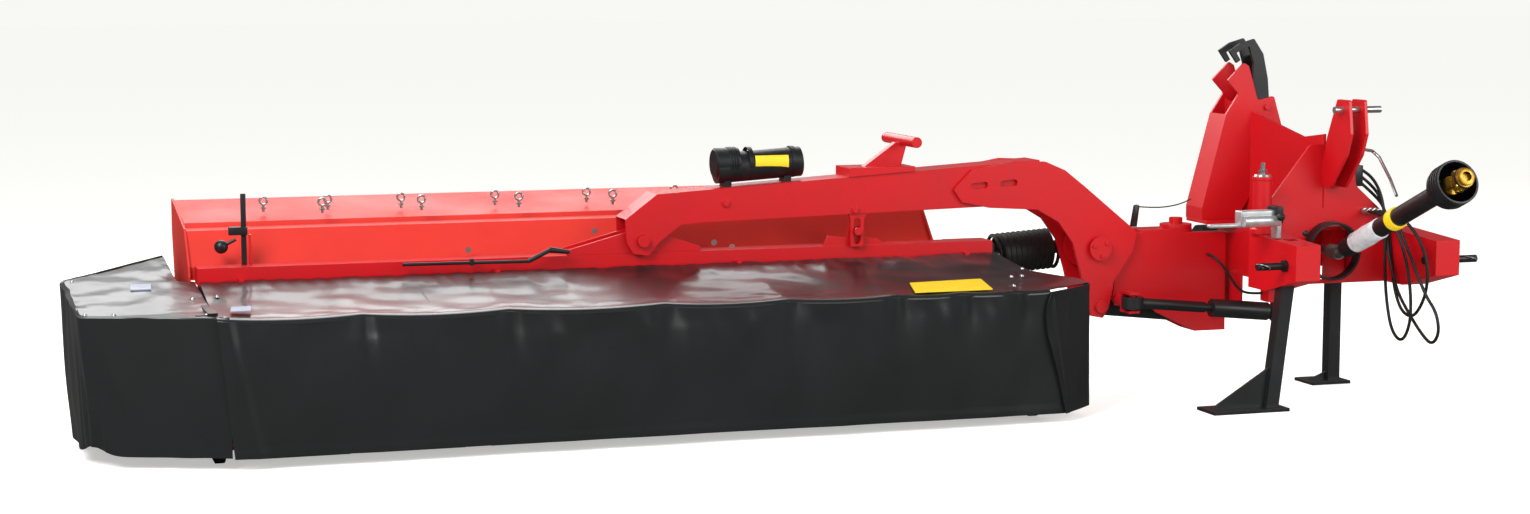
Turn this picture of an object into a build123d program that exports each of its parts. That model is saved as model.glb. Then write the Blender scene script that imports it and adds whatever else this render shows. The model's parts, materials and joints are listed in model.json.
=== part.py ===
"""Rear disc mower conditioner with a centre-pivot boom, modelled as separate pieces.

The machine is drawn in a layout frame: X = 0 is the tractor's centre line, Y = 0 the
lower-link pins, Z = 0 the ground.  -Y points to the tractor, -X is its right-hand side.
At the end every piece is moved so that the origin lies under the middle of its box.
"""
import os
from math import atan2, cos, degrees, hypot, radians, sin

from build123d import *

os.makedirs("parts", exist_ok=True)

# ---------------------------------------------------------------- driving dimensions
# pivots
BOOM_Y0, BOOM_Y1 = 600.0, 740.0       # faces of the boom's box section
FOLD_X, FOLD_Z = -815.0, 560.0        # main fold hinge, along Y
FOLD_ANGLE = 101.0                    # boom travel from work to transport
SWING_X = -450.0                      # vertical breakaway hinge,
SWING_Y = (BOOM_Y0 + BOOM_Y1) / 2     # in the boom's middle plane
TILT_X, TILT_Z = -2612.0, 645.0       # header pendulum hinge, along Y
CATCH_X, CATCH_Z = -1592.0, 985.0     # middle of the transport crossbar on the boom

# hitch, category 2 narrow
HITCH_SPREAD = 683.0                  # between the lower pin shoulders
HITCH_Z = 540.0
LOWER_PIN_D, LOWER_PIN_LEN = 28.0, 118.0
TOP_LINK_Y, TOP_LINK_Z = 140.0, 1098.0
TOP_PIN_D, TOP_GAP = 25.4, 52.0
ARM_W, ARM_H = 100.0, 130.0
ARM_FRONT = -75.0
PTO_Z, PTO_HOLE_D = 556.0, 226.0

# headstock box
HEAD_Y = 280.0                        # front face of the head plate
HEAD_T = 12.0
BOX_HALF_W = 235.0
BOX_BACK = 732.0
BOX_LOW, BOX_TOP = 440.0, 640.0
WALL = 12.0

# swing frame and boom
BOOM_WALL = 8.0
CHEEK_T = 14.0                        # gooseneck side plates
TILT_PIN_R = 22.0
SIDE_GAP = 7.0                        # between gooseneck and swing plates
SWING_T = 12.0
LIFT_ARM = 225.0                      # fold hinge to lift-cylinder eye
LIFT_X, LIFT_Z = -310.0, 280.0        # lift-cylinder anchor on the swing frame
SWING_TOP = 620.0
PIVOT_TUBE_R, PIVOT_PIN_R = 45.0, 26.0

# header
HEADER_LEFT, HEADER_RIGHT = -4190.0, -1240.0
BEAM_Y0, BEAM_Y1 = BOOM_Y0 + 22, BOOM_Y1 - 18
BEAM_Z0, BEAM_Z1 = 540.0, 600.0
DISC_COUNT, DISC_PITCH = 7, 391.0
DISC_MID_X = (HEADER_LEFT + HEADER_RIGHT) / 2
DISC_Y, DISC_Z = 302.0, 112.0
DISC_LONG, DISC_SHORT, KNIFE_TIP = 184.0, 146.0, 252.0
SHOE_T = 30.0
ROTOR_Y, ROTOR_Z, ROTOR_TIP, ROTOR_CORE = 800.0, 322.0, 215.0, 84.0
HOOD_LEFT, HOOD_RIGHT = HEADER_LEFT - 22, HEADER_RIGHT - 195
HOOD_CREST_Y, HOOD_CREST_Z = 850.0, 708.0
HOOD_REAR_Y, HOOD_REAR_Z = 1300.0, 778.0
HOOD_FRONT_Y = BOOM_Y1 + 10
SHEET = 4.0

# drive line behind the boom
GEAR_Y, DRIVE_Z = BOOM_Y1 + 110, 545.0
LATCH_X, LATCH_Z = -100.0, 1086.0
LATCH_CLOSE = 20.0
HEADER_GEAR_X, HEADER_GEAR_Z = HEADER_RIGHT + 90, 515.0

# covers
COVER_LEFT, COVER_RIGHT = HEADER_LEFT + 25, HEADER_RIGHT + 5
COVER_HINGE_Y, COVER_HINGE_Z = BEAM_Y0 - 20, 548.0
CREASE_Y, CREASE_Z = 40.0, 483.0
CURTAIN_LOW = 60.0
TARP = 8.0

# parking stands
STAND_LEFT = (-362.0, 65.0)          # foot on the ground
STAND_RIGHT = (184.0, 560.0)
STAND_LEAN = 7.0                      # the left leg leans in under its arm
TUBE = 50.0
GUIDE_GAP = 0.6
HINGE_R = 7.0
RUN_GAP = 0.3                         # running clearance of pins and seats

# ---------------------------------------------------------------- small tools
NODES = {}


def keep(name, *solids):
    """Collect the solids of one node."""
    whole = []
    for solid in solids:
        whole.extend(solid.solids())
    NODES[name] = whole


def block(x0, x1, y0, y1, z0, z1):
    """Box between two corners."""
    size = (x1 - x0, y1 - y0, z1 - z0)
    return Pos((x0 + x1) / 2, (y0 + y1) / 2, (z0 + z1) / 2) * Box(*size)


def rod(start, end, radius, bore=0.0):
    """Round bar, or a tube if it has a bore, between two points."""
    a, b = Vector(*start), Vector(*end)
    plane = Plane(origin=a, z_dir=b - a)
    bar = extrude(plane * Circle(radius), (b - a).length)
    if bore:
        bar -= extrude(plane * Circle(bore), (b - a).length)
    return bar


def outline(points, radius=0.0):
    """Closed face through points, its corners rounded."""
    face = make_face(Polyline(*points, close=True))
    return fillet(face.vertices(), radius) if radius else face


def plate_xz(face, y0, y1):
    """Upright plate across the machine's width, from y0 back to y1."""
    return extrude(Plane.XZ.offset(-y1) * face, y1 - y0)


def plate_yz(face, x0, x1):
    """Upright plate along the travel direction, from x0 to x1."""
    return extrude(Plane.YZ.offset(x0) * face, x1 - x0)


def plate_xy(face, z0, z1):
    """Level plate from z0 up to z1."""
    return extrude(Plane.XY.offset(z0) * face, z1 - z0)


def turned(x, z, angle, about=(FOLD_X, FOLD_Z)):
    """A point after the boom has folded by angle: clockwise, seen from the tractor."""
    r = hypot(x - about[0], z - about[1])
    a = atan2(z - about[1], x - about[0]) - radians(angle)
    return about[0] + r * cos(a), about[1] + r * sin(a)


# ---------------------------------------------------------------- headstock
BREAK_X0, BREAK_Z0 = -722.0, 360.0    # breakaway cylinder, eye on the swing frame
BREAK_X1, BREAK_Z1 = -120.0, 300.0    # and eye on the headstock
BREAK_Y = 482.0

HALF = HITCH_SPREAD / 2
HEAD_CATCH_X, HEAD_CATCH_Z = turned(CATCH_X, CATCH_Z, FOLD_ANGLE)
BAR_R = 20.0                          # transport crossbar
MAST_Y0, MAST_Y1 = SWING_Y - 67, SWING_Y + 67


def headstock_frame():
    """Head plate, hitch arms and the box that carries the pivot tube."""
    head = outline([(-BOX_HALF_W - 60, 430), (BOX_HALF_W + 40, 430), (BOX_HALF_W + 60, 500),
                    (BOX_HALF_W + 60, 640), (110, 800), (90, 960), (-90, 960),
                    (-250, 760), (-BOX_HALF_W - 60, 640)], 18)
    body = plate_xz(head, HEAD_Y, HEAD_Y + HEAD_T)
    for side in (-1, 1):
        inner, outer = side * (HALF - ARM_W), side * HALF
        x0, x1 = min(inner, outer), max(inner, outer)
        profile = outline([(ARM_FRONT, HITCH_Z - 50), (ARM_FRONT, HITCH_Z + ARM_H - 50),
                           (HEAD_Y, BOX_TOP), (HEAD_Y, 430), (150, 430)])
        body += plate_yz(profile, x0, x1)
        wall = side * BOX_HALF_W
        body += block(min(wall, wall - side * WALL), max(wall, wall - side * WALL),
                      HEAD_Y, BOX_BACK, BOX_LOW, BOX_TOP)
    body += block(-BOX_HALF_W, BOX_HALF_W, HEAD_Y, BOX_BACK, BOX_TOP - WALL, BOX_TOP)
    body += block(-BOX_HALF_W, BOX_HALF_W, BOX_BACK - WALL, BOX_BACK, BOX_LOW, BOX_TOP)
    # arm to the pivot tube
    body += block(SWING_X, -BOX_HALF_W, SWING_Y - 45, SWING_Y + 45, 450, 598)
    tube_low, tube_top = 447.0, 601.0
    body += rod((SWING_X, SWING_Y, tube_low), (SWING_X, SWING_Y, tube_top), PIVOT_TUBE_R)
    # ledge under the mast
    body += block(-372, -BOX_HALF_W + WALL, 560, BOX_BACK, BOX_TOP, BOX_TOP + WALL)
    body += block(-BOX_HALF_W, -BOX_HALF_W + WALL, 540, BOX_BACK, 300, BOX_LOW)
    # openings: drive line through the head plate, rear wall, pins and pivot
    body -= rod((0, HEAD_Y - 400, PTO_Z), (0, HEAD_Y + 60, PTO_Z), PTO_HOLE_D / 2)
    body -= rod((0, BOX_BACK - 60, PTO_Z), (0, BOX_BACK + 60, PTO_Z), 60)
    body -= rod((-HALF - 1, 0, HITCH_Z), (-HALF + ARM_W + 1, 0, HITCH_Z), LOWER_PIN_D / 2 + RUN_GAP)
    body -= rod((HALF + 1, 0, HITCH_Z), (HALF - ARM_W - 1, 0, HITCH_Z), LOWER_PIN_D / 2 + RUN_GAP)
    body -= rod((SWING_X, SWING_Y, 400), (SWING_X, SWING_Y, 640), PIVOT_PIN_R + RUN_GAP)
    # guides of the parking stands
    half = TUBE / 2 + GUIDE_GAP
    body += stand_hole(*STAND_RIGHT, 0, half + 6, 400, BOX_TOP - 1)
    body -= stand_hole(*STAND_RIGHT, 0, half, 300, 900)
    body -= stand_hole(*STAND_LEFT, STAND_LEAN, half, 300, 900)
    # lug of the breakaway cylinder under the box
    body += block(BREAK_X1 - 40, BREAK_X1 + 40, BREAK_Y - 32, BREAK_Y + 32, BREAK_Z1 + 42, BOX_TOP - WALL)
    body += rod((BREAK_X1, BREAK_Y, BREAK_Z1 - 34), (BREAK_X1, BREAK_Y, BREAK_Z1 + 60), 13)
    return body


def mast():
    """Tower with two slanted cheeks that catch the boom's crossbar."""
    cx, cz = HEAD_CATCH_X, HEAD_CATCH_Z
    s = BAR_R + 1.0
    # the seat faces up to the left, square to the last part of the crossbar's path
    n = (-0.69, 0.724)
    t = (0.724, 0.69)
    seat = (cx - n[0] * s, cz - n[1] * s)

    def at(along, off):
        return seat[0] + t[0] * along + n[0] * off, seat[1] + t[1] * along + n[1] * off

    cheek = [at(-52, 0), at(46, 0), at(52, -24), (-140, 1112), (-70, 1128), (-30, 1000), (-60, 900),
             (-BOX_HALF_W + WALL, BOX_TOP + WALL), (-372, BOX_TOP + WALL), (-372, 700),
             (-276, 1060), at(-52, -72)]
    face = outline(cheek, 8)
    body = plate_xz(face, MAST_Y0, MAST_Y0 + WALL)
    body += plate_xz(face, MAST_Y1 - WALL, MAST_Y1)
    body += rod((LATCH_X, MAST_Y0 - 10, LATCH_Z), (LATCH_X, MAST_Y1 + 6, LATCH_Z), 12)
    # closing plates of the tower, left and right
    left = outline([(-372, BOX_TOP + WALL), (-372, 700), (-276, 1060), (-264, 1060),
                    (-360, 700), (-360, BOX_TOP + WALL)])
    body += plate_xz(left, MAST_Y0, MAST_Y1)
    return body


def tower():
    """Folded gusset from the mast forward to the top-link bracket."""
    x0, y0, x1, y1 = -215.0, MAST_Y1, -28.0, HEAD_Y
    run = hypot(x1 - x0, y1 - y0)
    plane = Plane(origin=(x0, y0, 0), x_dir=(x1 - x0, y1 - y0, 0), z_dir=(y1 - y0, x0 - x1, 0))
    face = outline([(0, BOX_TOP), (run, BOX_TOP), (run, 1000), (run * 0.8, 985),
                    (0, 1118)])
    return extrude(plane * face, WALL / 2, both=True)


def top_link_bracket():
    """Two cheeks for the tractor's top link."""
    cheeks = []
    for side in (-1, 1):
        x = side * (TOP_GAP / 2 + 6)
        z = TOP_LINK_Z
        low = max(z - 298, PTO_Z + PTO_HOLE_D / 2 + 12)
        face = outline([(TOP_LINK_Y - 42, z + 38), (TOP_LINK_Y + 42, z + 38),
                        (TOP_LINK_Y + 110, z - 108), (HEAD_Y - 0.3, z - 198), (HEAD_Y - 0.3, low),
                        (HEAD_Y - 60, low), (TOP_LINK_Y - 30, z - 168), (TOP_LINK_Y - 60, z - 88)], 10)
        cheek = plate_yz(face, x - 6, x + 6)
        cheek -= rod((x - 20, TOP_LINK_Y, TOP_LINK_Z), (x + 20, TOP_LINK_Y, TOP_LINK_Z),
                     TOP_PIN_D / 2 + RUN_GAP)
        cheeks.append(cheek)
    return cheeks


def top_link_pin():
    """Pin through both cheeks, its free end past a groove for the clip."""
    pin = rod((-75, TOP_LINK_Y, TOP_LINK_Z), (120, TOP_LINK_Y, TOP_LINK_Z), TOP_PIN_D / 2)
    groove = (44, TOP_LINK_Y, TOP_LINK_Z), (52, TOP_LINK_Y, TOP_LINK_Z)
    return pin - rod(*groove, TOP_PIN_D / 2 + 4, 10)


def lower_link_pin(side):
    """Hitch pin with its shoulder on the arm's outer face."""
    x0 = side * (HALF - ARM_W - 8)
    x1 = side * (HALF + LOWER_PIN_LEN)
    pin = rod((x0, 0, HITCH_Z), (x1, 0, HITCH_Z), LOWER_PIN_D / 2)
    pin += rod((side * (HALF + 0.3), 0, HITCH_Z), (side * (HALF + 12), 0, HITCH_Z), 22)
    pin -= rod((side * (HALF + 98), -30, HITCH_Z), (side * (HALF + 98), 30, HITCH_Z), 6)
    return pin


def stand(x, y, lean, high, reach, brace):
    """Square parking leg, leaning inwards, with a braced foot flat on the ground."""
    foot = 12.0
    leg = Pos(x, y, 0) * Rot(0, lean, 0) * block(-TUBE / 2, TUBE / 2, -TUBE / 2, TUBE / 2, 0, high)
    leg -= block(x - 300, x + 300, y - 200, y + 200, -60, 4)
    leg += block(x - reach, x + 48, y - 70, y + 70, 0, foot)
    gusset = outline([(x - reach + 20, foot), (x, foot), (x, brace)])
    leg += plate_xz(gusset, y - 5, y + 5)
    return leg


def stand_hole(x, y, lean, wide, z0, z1):
    """Square way for a stand leg, as wide on each side as its guide leaves it."""
    return Pos(x, y, 0) * Rot(0, lean, 0) * block(-wide, wide, -wide, wide, z0, z1)


head = headstock_frame()
keep("headstock_frame", head)
cheeks = top_link_bracket()
front_of_plate = block(-60, 60, 150, HEAD_Y, 600, 720)
keep("mast", (mast() + tower()) - head - cheeks[0] - cheeks[1] - front_of_plate)
keep("top_link_bracket", *cheeks)
keep("top_link_pin", top_link_pin())
keep("lower_link_pin_left", lower_link_pin(-1))
keep("lower_link_pin_right", lower_link_pin(1))

keep("stand_left", stand(*STAND_LEFT, STAND_LEAN, 600, 260, 160))
keep("stand_right", stand(*STAND_RIGHT, 0, 600, 120, 50))

# ---------------------------------------------------------------- main drive


def main_gearbox():
    """Bevel gearbox behind the box, its input shaft running forward."""
    case = fillet(block(-95, 95, GEAR_Y - 85, GEAR_Y + 85, PTO_Z - 95, PTO_Z + 75).edges(), 14)
    case += rod((-95, GEAR_Y, DRIVE_Z), (MID_X, GEAR_Y, DRIVE_Z), 34)
    case -= Pos(MID_X, GEAR_Y, DRIVE_Z) * Sphere(BALL_R + RUN_GAP)
    case += rod((0, GEAR_Y - 85, PTO_Z), (0, BOX_BACK + RUN_GAP, PTO_Z), 75)
    return case


MID_X = -150.0                        # joint of the middle shaft at the gearbox
BALL_R = 24.0


def middle_shaft():
    """Guarded shaft from the gearbox to the bearing on the swing frame."""
    bar = Plane(origin=(MID_X, GEAR_Y, DRIVE_Z), z_dir=(1, 0, 0)) * Sphere(BALL_R)
    bar += rod((MID_X - 8, GEAR_Y, DRIVE_Z), (-648, GEAR_Y, DRIVE_Z), 14)
    bar += rod((MID_X - 48, GEAR_Y, DRIVE_Z), (-640, GEAR_Y, DRIVE_Z), 30)
    guard = rod((MID_X + 6, GEAR_Y, DRIVE_Z), (MID_X - 110, GEAR_Y, DRIVE_Z), 62)
    guard -= rod((MID_X + 10, GEAR_Y, DRIVE_Z), (MID_X - 96, GEAR_Y, DRIVE_Z), 50)
    return bar + guard


def header_shaft():
    """Guarded shaft with bellows from the fold axis to the header."""
    near = (HEADER_GEAR_X, GEAR_Y, HEADER_GEAR_Z)
    far = (FOLD_X - 22, GEAR_Y, DRIVE_Z)
    run = Vector(*far) - Vector(*near)
    u = run.normalized()
    p = lambda d: tuple(Vector(*near) + u * d)
    bar = Plane(origin=near, z_dir=u) * Sphere(BALL_R)
    bar += rod(p(8), p(60), 13)
    bar += rod(p(50), p(run.length), 26)
    return bar + rod(p(42), p(235), 76)


PTO_JOINT = (0.0, 205.0, PTO_Z)
PTO_TIP = (-41.0, -690.0, 915.0)


def pto(d):
    """Point on the universal-joint shaft's axis, d from its rear joint."""
    u = (Vector(*PTO_TIP) - Vector(*PTO_JOINT)).normalized()
    return tuple(Vector(*PTO_JOINT) + u * d)


PTO_BALL_R = 20.0
PTO_LEN = (Vector(*PTO_TIP) - Vector(*PTO_JOINT)).length


def pto_guard():
    """Plastic guard tube with a ribbed cone at each end."""
    tube = rod(pto(60), pto(PTO_LEN - 170), 35)
    tube += rod(pto(45), pto(110), 62)
    tube += rod(pto(PTO_LEN - 200), pto(PTO_LEN - 60), 90)
    tube -= rod(pto(40), pto(100), 56)
    tube -= rod(pto(PTO_LEN - 190), pto(PTO_LEN - 50), 82)
    return tube - rod(pto(10), pto(PTO_LEN - 20), 29)


def pto_core():
    """Turning shaft inside the guard, its front joint and splined yoke."""
    axis = Vector(*PTO_TIP) - Vector(*PTO_JOINT)
    bar = Plane(origin=PTO_JOINT, z_dir=axis) * Sphere(PTO_BALL_R) + rod(pto(8), pto(60), 12)
    bar += rod(pto(50), pto(PTO_LEN - 130), 22)
    for d in (150, PTO_LEN - 240):
        bar += rod(pto(d), pto(d + 30), 29 - RUN_GAP)
    bar += rod(pto(PTO_LEN - 130), pto(PTO_LEN - 92), 34)
    bar += rod(pto(PTO_LEN - 96), pto(PTO_LEN - 34), 46)
    bar += rod(pto(PTO_LEN - 36), pto(PTO_LEN), 34)
    return bar - rod(pto(PTO_LEN - 70), pto(PTO_LEN + 5), 17.45)


keep("main_gearbox", main_gearbox())
shaft = rod((0, HEAD_Y - 20, PTO_Z), (0, BOX_BACK - 0.3, PTO_Z), 17.5)
shaft += rod((0, PTO_JOINT[1], PTO_Z), (0, HEAD_Y - 15, PTO_Z), 27)
keep("input_shaft", shaft - Pos(*PTO_JOINT) * Sphere(PTO_BALL_R + RUN_GAP))
keep("middle_shaft", middle_shaft())
keep("header_shaft", header_shaft())
keep("pto_guard", pto_guard())
keep("pto_core", pto_core())
shield = rod((0, HEAD_Y - 45, PTO_Z), (0, HEAD_Y - 0.3, PTO_Z), PTO_HOLE_D / 2 - 2, PTO_HOLE_D / 2 - 10)
keep("pto_shield", shield)

# ---------------------------------------------------------------- swing frame
CHEEK_IN0, CHEEK_IN1 = BOOM_Y0, BOOM_Y1
PLATE_Y0, PLATE_Y1 = CHEEK_IN0 + SIDE_GAP, CHEEK_IN1 - SIDE_GAP


def swing_frame():
    """Two side plates between the gooseneck cheeks, boxed round the pivot tube."""
    nose = 85.0
    front = [(-760, SWING_TOP - 2), (-264, SWING_TOP - 18), (-264, 430), (-262, 222),
             (-392, 220), (-560, 300), (-650, 400), (-770, 480)]
    rear = [(-760, SWING_TOP - 2), (-452, SWING_TOP - 2), (-452, 428), (-262, 428), (-262, 222),
            (-392, 220), (-560, 300), (-650, 400), (-770, 480)]
    round_nose = Pos(FOLD_X, FOLD_Z) * Circle(nose)
    bridge = outline([(FOLD_X, FOLD_Z + nose), (FOLD_X + 80, FOLD_Z + nose - 25), (-740, 470),
                      (FOLD_X - 20, FOLD_Z - nose + 3)])
    lobe = outline([(-640, 470), (-560, 310), (BREAK_X0 - 12, BREAK_Z0 - 26), (BREAK_X0 - 24, BREAK_Z0),
                    (BREAK_X0 - 10, 470)])
    body = plate_xz(outline(front) + round_nose + bridge + lobe, PLATE_Y0, PLATE_Y0 + SWING_T)
    body += plate_xz(outline(rear) + round_nose + bridge, PLATE_Y1 - SWING_T, PLATE_Y1)
    top = outline([(-620, PLATE_Y0), (SWING_X, PLATE_Y0), (SWING_X, PLATE_Y1), (-620, PLATE_Y1)])
    top += Pos(SWING_X, SWING_Y) * Circle(PLATE_Y1 - SWING_Y)
    body += plate_xy(top, SWING_TOP - 15, SWING_TOP)
    web = SWING_X - 86
    body += plate_xy(top, 428, 443) - block(-700, web, PLATE_Y0 - 5, PLATE_Y1 + 5, 400, 500)
    body += block(web, web + SWING_T, PLATE_Y0, PLATE_Y1, 428, SWING_TOP)
    body += block(-392, -262, PLATE_Y0, PLATE_Y1, 220, 230)
    body += rod((FOLD_X, PLATE_Y0, FOLD_Z), (FOLD_X, PLATE_Y0 + 33, FOLD_Z), 50)
    body += rod((FOLD_X, PLATE_Y1 - 33, FOLD_Z), (FOLD_X, PLATE_Y1, FOLD_Z), 50)
    body -= rod((FOLD_X, PLATE_Y0 - 5, FOLD_Z), (FOLD_X, PLATE_Y1 + 5, FOLD_Z), 30 + RUN_GAP)
    body -= rod((SWING_X, SWING_Y, 400), (SWING_X, SWING_Y, 640), PIVOT_PIN_R + RUN_GAP)
    body += rod((LIFT_X, PLATE_Y0 - 4, LIFT_Z), (LIFT_X, PLATE_Y1 + 4, LIFT_Z), 16)
    # arm of the breakaway cylinder, standing out to the front
    body += rod((BREAK_X0, BREAK_Y + 50, BREAK_Z0), (BREAK_X0, PLATE_Y0 + 6, BREAK_Z0), 20)
    body += rod((BREAK_X0, BREAK_Y, BREAK_Z0 - 32), (BREAK_X0, BREAK_Y, BREAK_Z0 + 32), 13)
    body += block(BREAK_X0 - 22, BREAK_X0 + 22, BREAK_Y + 49, BREAK_Y + 61, BREAK_Z0 - 40, BREAK_Z0 + 40)
    for level in (-40, 30):
        body += block(BREAK_X0 - 22, BREAK_X0 + 22, BREAK_Y - 20, BREAK_Y + 55,
                      BREAK_Z0 + level, BREAK_Z0 + level + 10)
    # bearing bracket of the drive line, behind the boom
    body += block(-612, -560, PLATE_Y1 - 1, GEAR_Y - 74, 440, 520)
    body += block(-720, -560, GEAR_Y - 84, GEAR_Y - 72, 450, 575)
    body += rod((-735, GEAR_Y, DRIVE_Z), (-640, GEAR_Y, DRIVE_Z), 78)
    body -= rod((-728, GEAR_Y, DRIVE_Z), (-630, GEAR_Y, DRIVE_Z), 66)
    body += rod((-795, GEAR_Y, DRIVE_Z), (-728, GEAR_Y, DRIVE_Z), 26)
    return body


keep("swing_frame", swing_frame())
pin = rod((SWING_X, SWING_Y, 410), (SWING_X, SWING_Y, 660), PIVOT_PIN_R)
pin += rod((SWING_X, SWING_Y, SWING_TOP + 0.3), (SWING_X, SWING_Y, SWING_TOP + 16), 62)
keep("swing_pin", pin)

# ---------------------------------------------------------------- lift cylinder
EYE_REST = (FOLD_X + 10, FOLD_Z - LIFT_ARM)


def along(start, end, distance):
    """Point at a distance from start towards end, in the X-Z plane."""
    dx, dz = end[0] - start[0], end[1] - start[1]
    run = hypot(dx, dz)
    return start[0] + dx / run * distance, start[1] + dz / run * distance


def lift_barrel():
    """Cylinder tube with its base eye."""
    low, eye = (LIFT_X, LIFT_Z), EYE_REST
    a, b = along(low, eye, 30), along(low, eye, 440)
    tube = rod((a[0], SWING_Y, a[1]), (b[0], SWING_Y, b[1]), 40, 0)
    tube += rod((low[0], SWING_Y - 25, low[1]), (low[0], SWING_Y + 25, low[1]), 32)
    inner = along(low, eye, 70)
    past = along(low, eye, 450)
    tube -= rod((inner[0], SWING_Y, inner[1]), (past[0], SWING_Y, past[1]), 22.3)
    tube -= rod((low[0], SWING_Y - 40, low[1]), (low[0], SWING_Y + 40, low[1]), 16 + RUN_GAP)
    return tube


def lift_rod():
    """Chromed rod, its eye and the pin that drifts with it."""
    low, eye = (LIFT_X, LIFT_Z), EYE_REST
    a, b = along(low, eye, 90), along(eye, low, 25)
    bar = rod((a[0], SWING_Y, a[1]), (b[0], SWING_Y, b[1]), 22)
    bar += rod((eye[0], SWING_Y - 24, eye[1]), (eye[0], SWING_Y + 24, eye[1]), 34)
    bar += rod((eye[0], CHEEK_IN0 + 6, eye[1]), (eye[0], CHEEK_IN1 - 6, eye[1]), 16)
    return bar


keep("lift_barrel", lift_barrel())
keep("lift_rod", lift_rod())

# ---------------------------------------------------------------- breakaway cylinder
def on_break(distance):
    """Point on the breakaway cylinder's axis, measured from its headstock eye."""
    x, z = along((BREAK_X1, BREAK_Z1), (BREAK_X0, BREAK_Z0), distance)
    return x, BREAK_Y, z


BREAK_RUN = hypot(BREAK_X1 - BREAK_X0, BREAK_Z1 - BREAK_Z0)


def break_barrel():
    """Barrel with its eye round the headstock pin."""
    tube = rod(on_break(30), on_break(270), 35)
    tube -= rod(on_break(60), on_break(280), 16.3)
    x, y, z = on_break(0)
    tube += rod((x, y, z - 26), (x, y, z + 26), 32)
    return tube - rod((x, y, z - 30), (x, y, z + 30), 13 + RUN_GAP)


def break_rod():
    """Rod with a long adjusting nut and its eye, left open round the swing frame's pin."""
    bar = rod(on_break(75), on_break(BREAK_RUN - 25), 16)
    bar += rod(on_break(300), on_break(BREAK_RUN - 30), 21)
    x, y, z = on_break(BREAK_RUN)
    bar += rod((x, y, z - 22), (x, y, z + 22), 42)
    return bar - rod((x, y, z - 60), (x, y, z + 60), 13 + 8)


keep("break_barrel", break_barrel())
keep("break_rod", break_rod())

# ---------------------------------------------------------------- transport latch
def latch_at(radius, angle):
    """Point round the latch pivot; the angle counts from +X towards +Z."""
    return LATCH_X + radius * cos(radians(angle)), LATCH_Z + radius * sin(radians(angle))


def latch():
    """Hook of two arms that drops over the crossbar, drawn open."""
    reach = hypot(HEAD_CATCH_X - LATCH_X, HEAD_CATCH_Z - LATCH_Z)
    bar = degrees(atan2(HEAD_CATCH_Z - LATCH_Z, HEAD_CATCH_X - LATCH_X))
    beside = degrees((BAR_R + 6.5) / reach)
    nose = bar + beside - LATCH_CLOSE         # inner flank of the nose, drawn open
    root = bar - beside - LATCH_CLOSE         # flank of the arm on the bar's other side
    inner, outer = reach + BAR_R + 9, reach + BAR_R + 32
    shape = [latch_at(reach - 4, nose), latch_at(inner, nose), latch_at(inner + 1, (nose + root) / 2),
             latch_at(inner, root), latch_at(reach - 40, root), latch_at(64, 150), latch_at(30, 160),
             latch_at(30, 215), latch_at(30, 280), latch_at(30, 345), latch_at(30, 50),
             latch_at(110, 84), latch_at(reach - 10, root - 14), latch_at(outer, root - 6),
             latch_at(outer + 2, (nose + root) / 2), latch_at(outer, nose + 5), latch_at(reach - 4, nose + 5)]
    face = outline(shape)
    body = plate_xz(face, MAST_Y0 + WALL + 6, MAST_Y0 + WALL + 20)
    body += plate_xz(face, MAST_Y1 - WALL - 20, MAST_Y1 - WALL - 6)
    pad = outline([latch_at(110, 88), latch_at(reach - 16, root - 12), latch_at(reach - 16, root - 9),
                   latch_at(110, 94)])
    body += plate_xz(pad, MAST_Y0 + WALL + 6, MAST_Y1 - WALL - 6)
    body += rod((LATCH_X, MAST_Y0 + WALL + 6, LATCH_Z), (LATCH_X, MAST_Y1 - WALL - 6, LATCH_Z), 26)
    return body - rod((LATCH_X, MAST_Y0, LATCH_Z), (LATCH_X, MAST_Y1, LATCH_Z), 12 + RUN_GAP)


keep("latch", latch())

# ---------------------------------------------------------------- header drive and limiter
LIMIT_X, LIMIT_BOLT_Z = -1790.0, 655.0
LIMIT_Y0 = BOOM_Y0 + 4
BOLT_R = 8.0
LIMIT_HALF = 49.0                     # half the slot, for 2.5 degrees each way


def limiter_link():
    """Slotted plate under the boom that limits the header's tilt."""
    low = LIMIT_BOLT_Z - LIMIT_HALF - 9
    face = outline([(LIMIT_X - 45, 738), (LIMIT_X + 45, 738), (LIMIT_X + 26, 700), (LIMIT_X + 26, low),
                    (LIMIT_X - 26, low), (LIMIT_X - 26, 700)], 6)
    face -= Pos(LIMIT_X, LIMIT_BOLT_Z) * Rot(0, 0, 90) * SlotOverall(2 * LIMIT_HALF, 2 * BOLT_R + 10)
    return plate_xz(face, LIMIT_Y0, LIMIT_Y0 + 10)


def limiter_bracket():
    """Trestle on the beam with the bolt that runs in the slot."""
    y0 = BEAM_Y0 + 2
    face = outline([(LIMIT_X - 130, BEAM_Z1 - 5), (LIMIT_X + 110, BEAM_Z1 - 5), (LIMIT_X + 90, BEAM_Z1 + 22),
                    (LIMIT_X + 34, BEAM_Z1 + 30), (LIMIT_X + 26, LIMIT_BOLT_Z + 18), (LIMIT_X - 26, LIMIT_BOLT_Z + 18),
                    (LIMIT_X - 34, BEAM_Z1 + 30), (LIMIT_X - 110, BEAM_Z1 + 40)])
    body = plate_xz(face, y0, y0 + 8)
    body += rod((LIMIT_X, LIMIT_Y0 - 14, LIMIT_BOLT_Z), (LIMIT_X, y0, LIMIT_BOLT_Z), BOLT_R)
    return body + rod((LIMIT_X, LIMIT_Y0 - 14, LIMIT_BOLT_Z), (LIMIT_X, LIMIT_Y0 - 6, LIMIT_BOLT_Z), 15)


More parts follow.
